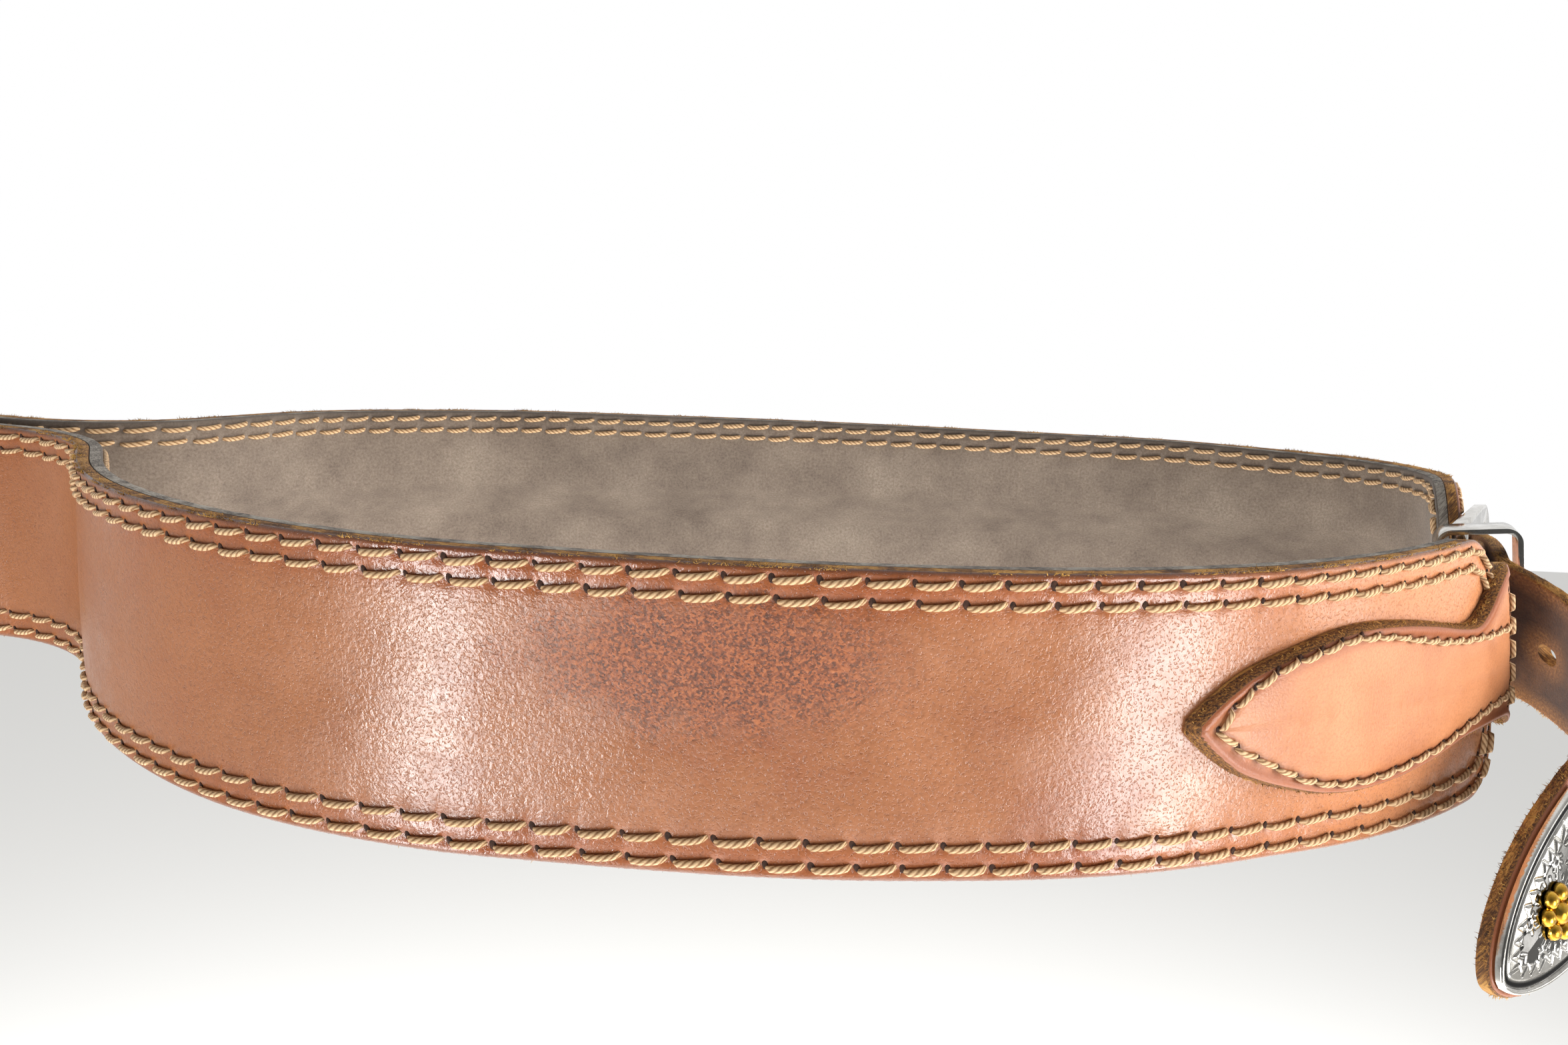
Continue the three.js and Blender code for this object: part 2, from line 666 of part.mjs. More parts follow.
const leather = (color, roughness) => new THREE.MeshStandardMaterial({ color, roughness, metalness: 0 });
const metal = (color, roughness) => new THREE.MeshStandardMaterial({ color, roughness, metalness: 1 });
const finishes = {
  band: leather(0xb06f46, 0.4),
  lining: leather(0x8f8174, 0.8),
  billet: leather(0xb4713f, 0.45),
  silver: metal(0xd9d9d6, 0.18),
  gold: metal(0xd8a93c, 0.25),
};

const belt = new THREE.Group();

function addPiece(name, geometry, finish) {
  const mesh = new THREE.Mesh(geometry, finish);
  mesh.name = name;
  belt.add(mesh);
}

const liningOuter = -BAND_THICK - CLEAR;
addPiece("belt_band", ply(-BAND_THICK, 0), finishes.band);
addPiece("belt_lining", ply(liningOuter - LINING_THICK, liningOuter), finishes.lining);
addPiece("buckle_billet", buckleBillet(), finishes.billet);
addPiece("tongue_billet", tongueBillet(), finishes.billet);
addPiece("buckle_frame", buckleFrame(), finishes.silver);
addPiece("buckle_prong", buckleProng(), finishes.silver);
addPiece("strap_keeper", strapKeeper(), finishes.silver);
addPiece("tip_plate", tipPlate(), finishes.silver);
addPiece("tip_ornament", tipOrnament(), finishes.gold);

export default belt;
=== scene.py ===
import math
import random
from collections import namedtuple
from functools import partial

import bpy
import numpy as np
from mathutils import Matrix
from mathutils.kdtree import KDTree


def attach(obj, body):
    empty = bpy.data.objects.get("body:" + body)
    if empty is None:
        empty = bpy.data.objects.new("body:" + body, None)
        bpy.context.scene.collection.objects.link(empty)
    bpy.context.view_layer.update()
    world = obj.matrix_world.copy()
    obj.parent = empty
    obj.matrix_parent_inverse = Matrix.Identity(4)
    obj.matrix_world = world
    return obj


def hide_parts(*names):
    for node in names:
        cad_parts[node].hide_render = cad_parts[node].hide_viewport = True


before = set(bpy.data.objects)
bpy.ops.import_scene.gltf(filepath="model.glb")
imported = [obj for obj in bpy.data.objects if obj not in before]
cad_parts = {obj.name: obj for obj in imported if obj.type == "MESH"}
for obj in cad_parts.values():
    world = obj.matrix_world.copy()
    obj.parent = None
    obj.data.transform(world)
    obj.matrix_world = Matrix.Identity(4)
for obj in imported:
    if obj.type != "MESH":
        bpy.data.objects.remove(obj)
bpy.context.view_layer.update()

MM = 0.001
BODY = "root"
UP = np.array([0.0, 0.0, 1.0])

# Leather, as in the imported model
BAND_TALL = 45.0
BAND_THICK = 2.6
LINING_THICK = 2.0
STRAP_TALL = 25.4
STRAP_THICK = 2.6
CLEAR = 0.3

# The band's outer face in plan, clockwise from above, as corners that are rounded
Bend = namedtuple("Bend", "x y radius")
BENDS = [
    Bend(127.2, -33.6, 42),  # right of the back
    Bend(80.5, -79.4, 150),  # back right
    Bend(-0.9, -87.6, 260),  # back middle
    Bend(-100.7, -78.1, 112),  # back left
    Bend(-144, 6.4, 45),  # into the fold
    Bend(-208.0, 21.3, 8),  # fold's end, back
    Bend(-206.0, 37.4, 8),  # fold's end, front
    Bend(-146, 23.5, 31),  # out of the fold
    Bend(-116, 66, 60),  # left of the front
    Bend(-72, 85, 100),  # front left
    Bend(10, 92, 400),  # front middle
    Bend(98, 86, 90),  # front right
    Bend(163.5, 64.6, 30),  # right of the front
]

# Places along the belt from the buckle's bar: positive towards the back, negative towards the front
BAR_FROM_BEND = 46.0
BAND_START = 48.0
BAND_END = -10.5
BAND_CORNER = 12.0
BUCKLE_LEAF_TIP = 128.6
TONGUE_LEAF_TIP = -128.0
BAR_RADIUS = 1.5
BAR_OFFSET = -1.5
KEEPER_EXIT = 14.0
FREE_PLACE = np.array([146.7, -15.4, -3.3])
FREE_HEADING, FREE_DROOP, FREE_LEAN = 12.1, 14.9, 10.5
CURL_LONG, CURL_TURN, CURL_SLANT = 50.5, 66.1, 23.5
TIP_LONG, TIP_TAPER, TIP_BLUNT = 35.5, 29.6, 0.56
HOLE_PLACES = (-5.4, 26.6, 58.6)
HOLE_LONG, HOLE_TALL = 5.0, 3.4

# Smooth tables: a value in the second column by a position in the first
LEAN = [(-110, 0), (-60, 7), (60, 7), (110, 0)]
LEAF = [(0, 1.0), (3, 3.8), (8, 7.3), (13, 9.4), (19, 11.2), (25, 12.6), (32, 13.2), (41, 12.7),
        (50, 11.5), (60, 9.7), (66, 9.3), (71, 11.3), (76, 14.6), (81, 16.4)]
BUCKLE_LEAF = LEAF + [(87, 16.4), (94, 14.4), (104, STRAP_TALL / 2)]
TONGUE_LEAF = LEAF + [(86, 16.2), (91, 14.0), (97, STRAP_TALL / 2)]
TONGUE_LOW = CLEAR + STRAP_THICK / 2
TONGUE_HIGH = TONGUE_LOW + STRAP_THICK + CLEAR
TONGUE_OFFSET = [(-22, TONGUE_LOW), (-12, (TONGUE_LOW + TONGUE_HIGH) / 2), (-3, TONGUE_HIGH),
                 (14, TONGUE_HIGH)]
TONGUE_DROP = [(-3, 0), (8, 0.2), (14, 1.0)]
BILLET_FRONT = [(0, CLEAR), (14, -1.1), (37, -1.1), (47, CLEAR)]
BILLET_BACK = [(0, -3.3), (14, -1.9), (37, -1.9), (47, -1.9)]
BILLET_BACK_END = 44.5
FOLD_PLACE = 3


def deselect():
    if bpy.context.object and bpy.context.object.mode != "OBJECT":
        bpy.ops.object.mode_set(mode="OBJECT")
    bpy.ops.object.select_all(action="DESELECT")


def pick(piece):
    """Makes a piece the only one that is selected, and the active one."""
    deselect()
    piece.select_set(True)
    bpy.context.view_layer.objects.active = piece


def freeze():
    """Applies the active object's place, turn and size to its mesh."""
    bpy.ops.object.transform_apply(location=True, rotation=True, scale=True)
    return bpy.context.object


def face_outwards(piece, degrees):
    """Turns a piece's normals outwards, and shades it smooth but for edges sharper than an angle."""
    pick(piece)
    bpy.ops.object.mode_set(mode="EDIT")
    bpy.ops.mesh.select_all(action="SELECT")
    bpy.ops.mesh.normals_make_consistent(inside=False)
    bpy.ops.object.mode_set(mode="OBJECT")
    bpy.ops.object.shade_smooth_by_angle(angle=math.radians(degrees))


def smooth_table(rows, position):
    """A smooth value from a table's second column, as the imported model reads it."""
    if position <= rows[0][0]:
        return rows[0][1]
    if position >= rows[-1][0]:
        return rows[-1][1]
    i = max(k for k, row in enumerate(rows) if row[0] <= position)

    def slope(k):
        before, after = rows[max(k - 1, 0)], rows[min(k + 1, len(rows) - 1)]
        return (after[1] - before[1]) / (after[0] - before[0])

    span = rows[i + 1][0] - rows[i][0]
    a, b, c, d = hermite((position - rows[i][0]) / span)
    return rows[i][1] * a + span * slope(i) * b + rows[i + 1][1] * c + span * slope(i + 1) * d


def hermite(t):
    return 2 * t**3 - 3 * t**2 + 1, t**3 - 2 * t**2 + t, 3 * t**2 - 2 * t**3, t**3 - t**2


def turn(vector, axis, angle):
    """The vector turned about a unit axis by the right-hand rule."""
    cos, sin = math.cos(angle), math.sin(angle)
    return vector * cos + np.cross(axis, vector) * sin + axis * (axis @ vector) * (1 - cos)


def unit(vector):
    return vector / np.linalg.norm(vector)


# The belt's course
Run = namedtuple("Run", "start at way long turn")
Station = namedtuple("Station", "place along out across")


def lay_course():
    """The course in plan as straight runs and arcs, each with the length at which it starts."""
    count = len(BENDS)
    corners = [np.array([bend.x, bend.y]) for bend in BENDS]
    ways = [unit(corners[(i + 1) % count] - corner) for i, corner in enumerate(corners)]
    turns = []
    for i, way in enumerate(ways):
        before = ways[i - 1]
        turns.append(math.atan2(before[0] * way[1] - before[1] * way[0], before @ way))
    cuts = [bend.radius * math.tan(abs(angle) / 2) for bend, angle in zip(BENDS, turns)]
    start = corners[0] - ways[-1] * BAR_FROM_BEND
    runs = [Run(0.0, start, ways[-1], BAR_FROM_BEND - cuts[0], 0.0)]
    for i, bend in enumerate(BENDS):
        runs.append(Run(sum(run.long for run in runs), corners[i] - ways[i - 1] * cuts[i], ways[i - 1],
                        bend.radius * abs(turns[i]), turns[i]))
        leave = corners[i] + ways[i] * cuts[i]
        last = i + 1 == count
        goal = start if last else corners[i + 1] - ways[i] * cuts[i + 1]
        runs.append(Run(sum(run.long for run in runs), leave, ways[i], np.linalg.norm(goal - leave), 0.0))
    return runs


COURSE = lay_course()
COURSE_LONG = COURSE[-1].start + COURSE[-1].long
BAND_STOP = COURSE_LONG + BAND_END


def course_at(along):
    """A station on the course: its place, the way along it, the way out of the belt and the way up it."""
    s = along % COURSE_LONG
    run = next(candidate for candidate in reversed(COURSE) if candidate.start <= s + 1e-9)
    into = s - run.start
    way, side = run.way, np.array([-run.way[1], run.way[0]])
    at = run.at + way * into
    if run.turn:
        angle, radius = run.turn * into / run.long, run.long / run.turn
        at = run.at + way * radius * math.sin(angle) + side * radius * (1 - math.cos(angle))
        way = way * math.cos(angle) + side * math.sin(angle)
    lean = math.radians(smooth_table(LEAN, s - COURSE_LONG if s > COURSE_LONG / 2 else s))
    place, direction = np.array([at[0], at[1], 0.0]), np.array([way[0], way[1], 0.0])
    out = np.array([-way[1], way[0], 0.0])
    return Station(place, direction, turn(out, direction, lean), turn(UP, direction, lean))


def beside(along, outwards, upwards=0.0):
    station = course_at(along)
    return station.place + station.out * outwards + station.across * upwards


class Route:
    """Stations along a strap: flat leather laid on it bends with it. Flat X runs along, Y outwards, Z up."""

    def __init__(self, stops, stations):
        self.stops = np.array(stops)
        self.columns = [np.array(column) for column in zip(*stations)]

    def lay(self, flat):
        def read(column):
            return np.stack([np.interp(flat[:, 0], self.stops, column[:, k]) for k in range(3)], 1)

        place, along, out, across = [read(column) for column in self.columns]
        past = flat[:, 0] - np.clip(flat[:, 0], self.stops[0], self.stops[-1])
        return (place + along * past[:, None] + out * flat[:, 1:2] + across * flat[:, 2:3]) * MM


ROUTE_STEP = 0.5
BAR_STEPS, BRIDGE_STEPS, CURL_STEPS = 12, 24, 60


def belt_route():
    stops = np.arange(TONGUE_LEAF_TIP - 5, COURSE_LONG + 20, ROUTE_STEP)
    return Route(stops, [course_at(stop) for stop in stops])


def billet_route():
    """The buckle's leather from its turned-back end, round the bar, to the tip of its leaf."""
    inner = BAR_RADIUS + CLEAR
    fold_long = math.pi * (inner + STRAP_THICK / 2)
    stops, stations = [], []
    for s in np.arange(BILLET_BACK_END, FOLD_PLACE, -ROUTE_STEP):
        station = course_at(s)
        stops.append(-fold_long - s)
        stations.append(Station(beside(s, smooth_table(BILLET_BACK, s)), -station.along, -station.out,
                                station.across))
    bar = course_at(0)
    centre = beside(0, BAR_OFFSET)
    for i in range(BAR_STEPS + 1):
        left = 1 - i / BAR_STEPS
        out = turn(bar.out, bar.across, math.pi * left)
        stops.append(-fold_long * left)
        stations.append(Station(centre + out * inner, turn(bar.along, bar.across, math.pi * left), out,
                                bar.across))
    for s in np.arange(FOLD_PLACE, BUCKLE_LEAF_TIP + 2, ROUTE_STEP):
        stops.append(s)
        stations.append(course_at(s)._replace(place=beside(s, smooth_table(BILLET_FRONT, s))))
    return Route(stops, stations)


def free_start():
    heading, droop = math.radians(FREE_HEADING), math.radians(FREE_DROOP)
    along = unit(np.array([math.sin(heading), -math.cos(heading), -math.tan(droop)]))
    across = turn(unit(UP - along * along[2]), along, math.radians(FREE_LEAN))
    return Station(FREE_PLACE, along, np.cross(across, along), across)


def tongue_route():
    """The tongue along the belt's front, through buckle and keeper, and down to its hanging point."""
    stops = list(np.arange(TONGUE_LEAF_TIP - 2, KEEPER_EXIT, ROUTE_STEP)) + [KEEPER_EXIT]
    stations = []
    for s in stops:
        place = beside(s, smooth_table(TONGUE_OFFSET, s), -smooth_table(TONGUE_DROP, s))
        stations.append(course_at(s)._replace(place=place))
    last, start = stations[-1], free_start()
    reach = np.linalg.norm(start.place - last.place)
    for i in range(1, BRIDGE_STEPS + 1):
        t = i / BRIDGE_STEPS
        a, b, c, d = hermite(t)
        place = last.place * a + last.along * b * reach + start.place * c + start.along * d * reach
        along = unit(last.along * (1 - t) + start.along * t)
        across = last.across * (1 - t) + start.across * t
        across = unit(across - along * (across @ along))
        stations.append(Station(place, along, np.cross(across, along), across))
    slant = math.radians(CURL_SLANT)
    axis = start.across * math.cos(slant) - start.along * math.sin(slant)
    angle, step = -math.radians(CURL_TURN) / CURL_STEPS, CURL_LONG / CURL_STEPS
    for _ in range(CURL_STEPS):
        before = stations[-1]
        place = before.place + turn(before.along, axis, angle / 2) * step
        stations.append(Station(place, *[turn(v, axis, angle) for v in before[1:]]))
    flat = stations[-1]
    stations.append(flat._replace(place=flat.place + flat.along * TIP_LONG))
    for before, after in zip(stations[len(stops) - 1:], stations[len(stops):]):
        stops.append(stops[-1] + np.linalg.norm(after.place - before.place))
    return Route(stops, stations)


BELT = belt_route()
BILLET = billet_route()
TONGUE = tongue_route()
TONGUE_STOP = float(TONGUE.stops[-1])


# Cutting flat leather
def read_points(mesh):
    points = np.zeros(3 * len(mesh.vertices), np.float32)
    mesh.vertices.foreach_get("co", points)
    return points.reshape(-1, 3).astype(float)


def write_points(mesh, points):
    mesh.vertices.foreach_set("co", points.astype(np.float32).ravel())
    mesh.update()


def write_attribute(mesh, name, values):
    mesh.attributes.new(name, "FLOAT", "POINT").data.foreach_set("value", values.astype(np.float32))


def blank(name, columns, rows):
    """A flat unit sheet with its grain to +Y, extruded to a body. Its flesh side's points come first."""
    deselect()
    bpy.ops.mesh.primitive_grid_add(x_subdivisions=columns, y_subdivisions=rows, size=1,
                                    location=(0.5, 0, 0), rotation=(-math.pi / 2, 0, 0))
    piece = freeze()
    piece.name = name
    piece.data.name = name
    bpy.ops.object.mode_set(mode="EDIT")
    bpy.ops.mesh.select_all(action="SELECT")
    bpy.ops.mesh.extrude_region_move(TRANSFORM_OT_translate={"value": (0, 1, 0)})
    bpy.ops.object.mode_set(mode="OBJECT")
    return piece


def across_rows(top, bottom, steps, middle):
    """Heights from a sheet's top edge down to its bottom edge: fine steps in from both, even between."""
    steps = np.array(steps) * min(1.0, 0.35 * (top - bottom) / steps[-1])
    high, low = top - steps, bottom + steps
    between = np.linspace(high[-1], low[-1], middle + 1)[1:-1]
    return np.concatenate([high, between, low[::-1]])


def resample(path, spacing):
    """Places at equal spacing along a path."""
    path = np.array(path)
    gone = np.concatenate([[0], np.cumsum(np.linalg.norm(np.diff(path, axis=0), axis=1))])
    at = np.linspace(0, gone[-1], max(2, round(gone[-1] / spacing) + 1))
    return np.stack([np.interp(at, gone, path[:, k]) for k in range(2)], 1)


def search_tree(places):
    tree = KDTree(len(places))
    for i, (x, z) in enumerate(places):
        tree.insert((x, 0, z), i)
    tree.balance()
    return tree


def nearest(places, flat, limit):
    """How far each flat point is from the nearest of these places, up to a limit."""
    tree = search_tree(places)
    return np.array([min(limit, tree.find((x, 0, z))[2]) for x, _, z in flat])


# The limits of the distances to a piece's outline and to its seam
EDGE_REACH = 8.0
PULL_REACH = 3.0

# A flat face is grain or flesh when its normal leans this far out or in, and a cut edge between
FACING = 0.3
SMOOTH_LEATHER, SMOOTH_METAL = 50, 60


class Leather:
    """A piece of leather: cut flat, moulded, punched, and then bent onto its route."""

    def __init__(self, name, stops, top, steps, middle, bottom=None, fineness=0.15):
        rows = 2 * len(steps) + middle - 1
        self.piece = blank(name, len(stops) - 1, rows - 1)
        edges = [(top(x), bottom(x) if bottom else -top(x)) for x in stops]
        flat = np.zeros((2, rows, len(stops), 3))
        flat[..., 0], flat[..., 2] = stops, np.array([across_rows(*pair, steps, middle) for pair in edges]).T
        self.flat = flat.reshape(-1, 3)
        self.grain = np.arange(len(self.flat)) >= rows * len(stops)
        upper = [(x, high) for x, (high, _) in zip(stops, edges)]
        lower = [(x, low) for x, (_, low) in zip(stops, edges)]
        self.outline = resample(upper + lower[::-1] + upper[:1], fineness)
        self.edge = nearest(self.outline, self.flat, EDGE_REACH)

    def mould(self, grain_height, flesh_height):
        self.flat[:, 1] = np.where(self.grain, grain_height, flesh_height)
        write_points(self.piece.data, self.flat)

    def punch(self, x, long, tall):
        """Cuts a hole with round ends through the flat piece."""
        deselect()
        bpy.ops.mesh.primitive_cylinder_add(vertices=36, radius=tall / 2, depth=12, location=(x, 0, 0),
                                            rotation=(math.pi / 2, 0, 0))
        cutter = freeze()
        for vertex in cutter.data.vertices:
            vertex.co.x += math.copysign((long - tall) / 2, vertex.co.x - x)
        rim = [(vertex.co.x, vertex.co.z) for vertex in cutter.data.vertices if vertex.co.y > 0]
        cut = self.piece.modifiers.new("punch", "BOOLEAN")
        cut.operation = "DIFFERENCE"
        cut.object = cutter
        pick(self.piece)
        bpy.ops.object.modifier_apply(modifier="punch")
        bpy.data.objects.remove(cutter)
        self.outline = np.concatenate([self.outline, rim])
        self.flat = read_points(self.piece.data)
        self.edge = nearest(self.outline, self.flat, EDGE_REACH)

    def bend(self, route, seam, from_tip=None):
        """Bends the piece onto its route. A face's slot is grain, cut edge or flesh, by its direction."""
        mesh = self.piece.data
        normals = np.zeros(3 * len(mesh.polygons), np.float32)
        mesh.polygons.foreach_get("normal", normals)
        out = normals[1::3]
        mesh.polygons.foreach_set("material_index", np.where(out > FACING, 0, np.where(out < -FACING, 2, 1)))
        layer = mesh.uv_layers.new(name="flat")
        corners = np.zeros(len(mesh.loops), int)
        mesh.loops.foreach_get("vertex_index", corners)
        around = self.flat[:, 2] - self.flat[:, 1] * np.sign(self.flat[:, 2])
        uv = np.stack([self.flat[:, 0], around], 1)[corners] * MM
        layer.data.foreach_set("uv", uv.astype(np.float32).ravel())
        write_attribute(mesh, "edge", self.edge)
        write_attribute(mesh, "pulled", pulled(self.flat, seam, 1.0))
        if from_tip:
            write_attribute(mesh, "bare", billet_bare(from_tip(self.flat), self.edge))
        write_points(mesh, route.lay(self.flat))
        face_outwards(self.piece, SMOOTH_LEATHER)
        return self.piece


def rounding(distance, radius):
    """How far a rounded edge falls away, by the distance from it."""
    short = np.clip(radius - distance, 0, radius)
    return radius - np.sqrt(radius**2 - short**2)


# Stitching
Stitch = namedtuple("Stitch", "x z angle long")
Seam = namedtuple("Seam", "stitches holes")


def march(path, pitch):
    """A seam along a flat path: equal stitches from hole to hole."""
    holes = resample(path, pitch)
    stitches = []
    for (x0, z0), (x1, z1) in zip(holes, holes[1:]):
        angle = math.atan2(z1 - z0, x1 - x0)
        if abs(angle) > math.pi / 2:
            angle -= math.copysign(math.pi, angle)
        stitches.append(Stitch((x0 + x1) / 2, (z0 + z1) / 2, angle, math.hypot(x1 - x0, z1 - z0)))
    return Seam(stitches, list(holes))


def join_seams(seams):
    return Seam(sum((seam.stitches for seam in seams), []), sum((seam.holes for seam in seams), []))


# Where along a stitch its thread presses, in shares of its length, and how hard beside a hole's pull
UNDER_THREAD, THREAD_PULL = (-0.3, -0.15, 0.0, 0.15, 0.3), 0.4


def pulled(flat, seam, wide):
    """How strongly the thread pulls the leather in: fully at the holes, a little along the stitches."""
    under = []
    for stitch in seam.stitches:
        for part in UNDER_THREAD:
            under.append((stitch.x + part * stitch.long * math.cos(stitch.angle),
                          stitch.z + part * stitch.long * math.sin(stitch.angle)))
    away, below = nearest(seam.holes, flat, PULL_REACH), nearest(under, flat, PULL_REACH)
    return np.exp(-((away / wide) ** 2)) + THREAD_PULL * np.exp(-((below / wide) ** 2))


# The band's own measures
BAND_PITCH = 6.45
BAND_RUN = BAND_STOP - BAND_START - 2 * BAND_CORNER
BAND_STITCHES = round(BAND_RUN / BAND_PITCH)
COLUMNS_PER_STITCH = 8
BAND_STEP = BAND_RUN / BAND_STITCHES / COLUMNS_PER_STITCH
Row = namedtuple("Row", "height shift")
BAND_ROWS = [Row(20.8, 0), Row(17.9, -1), Row(-17.1, 0), Row(-20.5, -1)]
BAND_EDGE_STEPS = (0, 0.15, 0.4, 0.8, 1.25, 1.7, 2.2, 2.9, 3.7, 4.6, 5.4, 6.3)
PULL = 0.42
END_PITCH = BAND_PITCH * 0.8
BAND_ROUND, LINING_ROUND = 0.8, 0.6
SWELL, RIPPLE = 0.14, 0.07


def band_top(x):
    short = max(0.0, BAND_CORNER - min(x - BAND_START, BAND_STOP - x))
    return BAND_TALL / 2 - BAND_CORNER + math.sqrt(max(0.0, BAND_CORNER**2 - short**2))


def band_stops(step):
    corner = BAND_CORNER * (1 - np.cos(np.linspace(0, math.pi / 2, 22)))
    low, high = BAND_START + BAND_CORNER, BAND_STOP - BAND_CORNER
    middle = np.linspace(low, high, round((high - low) / step) + 1)
    return np.concatenate([BAND_START + corner[:-1], middle, BAND_STOP - corner[:-1][::-1]])


def band_face(x, z):
    """The slight unevenness of the worn band's outer face."""
    return SWELL * np.sin(x / 23) * np.sin(z / 9 + x / 41) + RIPPLE * np.sin(x / 7.3 + z / 5)


def band_seam():
    """Two rows along each edge, which turn round the band's ends until they go under the billets."""
    low, high = BAND_START + BAND_CORNER, BAND_STOP - BAND_CORNER
    centre = BAND_TALL / 2 - BAND_CORNER
    seams = []
    for row in BAND_ROWS:
        side = math.copysign(1, row.height)
        radius = abs(row.height) - centre
        shift = row.shift * BAND_STEP
        arc = np.linspace(math.pi / 2, 0.12, 16)
        near = [(low - radius * math.cos(a), side * (centre + radius * math.sin(a))) for a in arc]
        far = [(high + radius * math.cos(a), side * (centre + radius * math.sin(a))) for a in arc]
        straight = [(low + shift, row.height), (high + shift, row.height)]
        seams += [march(near, END_PITCH), march(straight, BAND_PITCH), march(far, END_PITCH)]
    return join_seams(seams)


# The leaves' own measures: places from a leaf's tip
LEAF_PITCH = 4.25
LEAF_EDGE_STEPS = (0, 0.25, 0.6, 1.0, 1.4, 1.9, 2.4, 3.0, 3.8, 4.8)
STRAP_FROM, STRAP_BLEND, STRAP_ROUND = 82.0, 6, 0.6
SKIVE_WIDE, SKIVE_REACH = 0.8, 5
LEAF_BASE, PARED_TALL = 0.2, 1.85
RIM_TALL, RIM_PLACE, RIM_SPREAD = 0.28, 0.55, 0.5
CROWN_TALL, CROWN_PLACE, CROWN_REACH = 0.45, 1.3, 3
RAW_LEAF, RAW_STRAP, RAW_BLEND = 0.85, 0.3, 0.3
SEAM_TOP = [(4.0, -0.2), (5.0, 1.2), (6.4, 3.2), (9.6, 6.1), (13.2, 8.1), (16.9, 9.5), (21, 10.4),
            (24.6, 11.3), (27.7, 11.8), (35.2, 11.3), (44.6, 9.5), (56.7, 7.6), (69.7, 6.6), (80, 6.4)]
SEAM_BOTTOM = [(4.0, -0.2), (5.8, -1.7), (8.4, -3.3), (12.2, -5.3), (16.4, -7.3), (20.6, -9.1),
               (25, -10.4), (29.6, -11.0), (37.5, -10.9), (44.8, -10), (53.2, -8.8), (61.5, -7.0),
               (71.3, -5.6), (80, -5.4)]
CROSS_ROW = (81.4, 12.4, -8.2)
LOWER_BILLET = [row for row in LEAF if row[0] <= 60] + [
    (68, 9.4), (76, 9.6), (80, 10.3), (84, 12.2), (89, 13.2), (95, 13.0), (104, STRAP_TALL / 2)]


def leaf_seam(tip, direction):
    """A row along each side of a leaf, and one across where its shoulders end."""
    seams = []
    for rows in (SEAM_TOP, SEAM_BOTTOM):
        distances = np.arange(rows[0][0], rows[-1][0], 0.5)
        path = [(tip + direction * t, smooth_table(rows, t)) for t in distances]
        seams.append(march(path, LEAF_PITCH))
    at, high, low = CROSS_ROW
    seams.append(march([(tip + direction * at, high), (tip + direction * at, low)], LEAF_PITCH))
    return join_seams(seams)


def skive(from_tip):
    """How wide the leaf's pared edge is: up to twice as wide at its tip."""
    return SKIVE_WIDE + SKIVE_WIDE * np.exp(-np.clip(from_tip, 0, None) / SKIVE_REACH)


def leaf_height(from_tip, edge):
    """A leaf's face: a pared edge, a rounded rim, a crease along the stitches and a full middle."""
    pared = np.clip(edge / skive(from_tip), 0, 1)
    inside = edge - skive(from_tip)
    rim = RIM_TALL * np.exp(-(((inside - RIM_PLACE) / RIM_SPREAD) ** 2))
    crown = CROWN_TALL * (1 - np.exp(-np.clip(inside - CROWN_PLACE, 0, None) / CROWN_REACH))
    return LEAF_BASE + PARED_TALL * np.sin(pared * math.pi / 2) + rim + crown


def strap_share(from_tip):
    """From 0 on the leaf to 1 on the strap that leaves it."""
    t = np.clip((from_tip - STRAP_FROM) / STRAP_BLEND, 0, 1)
    return t * t * (3 - 2 * t)


def billet_height(from_tip, edge):
    share = strap_share(from_tip)
    return leaf_height(from_tip, edge) * (1 - share) + (STRAP_THICK - rounding(edge, STRAP_ROUND)) * share


def billet_bare(from_tip, edge):
    """1 where leather's raw inside shows: a leaf's pared edge, and a hair's breadth along a strap."""
    share = strap_share(from_tip)
    wide = RAW_LEAF * skive(from_tip) * (1 - share) + RAW_STRAP * share
    return np.clip((wide - edge) / RAW_BLEND + 0.5, 0, 1)


def leaf_face(tip, outline, base):
    """The height of a leaf's face over a base, at a flat place."""
    tree = search_tree(outline)

    def at(x, z):
        return float(billet_height(np.array(abs(tip - x)), np.array(tree.find((x, 0, z))[2]))) + base

    return at


# Thread
STITCH_RINGS = 9
TWIST_SHIFT = 0.37


def twisted_stitch():
    """One stitch: a ring extruded ring by ring, with flat lengths along and round it for its twist."""
    deselect()
    bpy.ops.mesh.primitive_circle_add(vertices=6, radius=1, fill_type="NGON", rotation=(0, math.pi / 2, 0))
    piece = freeze()
    bpy.ops.object.mode_set(mode="EDIT")
    bpy.ops.mesh.select_all(action="SELECT")
    for _ in range(1, STITCH_RINGS):
        bpy.ops.mesh.extrude_region_move(TRANSFORM_OT_translate={"value": (1 / (STITCH_RINGS - 1), 0, 0)})
    bpy.ops.mesh.select_all(action="SELECT")
    bpy.ops.mesh.normals_make_consistent(inside=False)
    bpy.ops.object.mode_set(mode="OBJECT")
    return take_pattern(piece)


Pattern = namedtuple("Pattern", "points faces uv")


def take_pattern(piece):
    """The points, faces and wrapped lengths of a finished pattern, whose object is then removed."""
    points = read_points(piece.data)
    faces = [tuple(face.vertices) for face in piece.data.polygons]
    uv = []
    for face in faces:
        round_x = np.arctan2(points[list(face), 2], points[list(face), 1]) / (2 * math.pi)
        if round_x.max() - round_x.min() > 0.5:
            round_x[round_x < 0] += 1
        uv += [(points[i, 0], turns) for i, turns in zip(face, round_x)]
    bpy.data.objects.remove(piece)
    return Pattern(points, faces, np.array(uv))


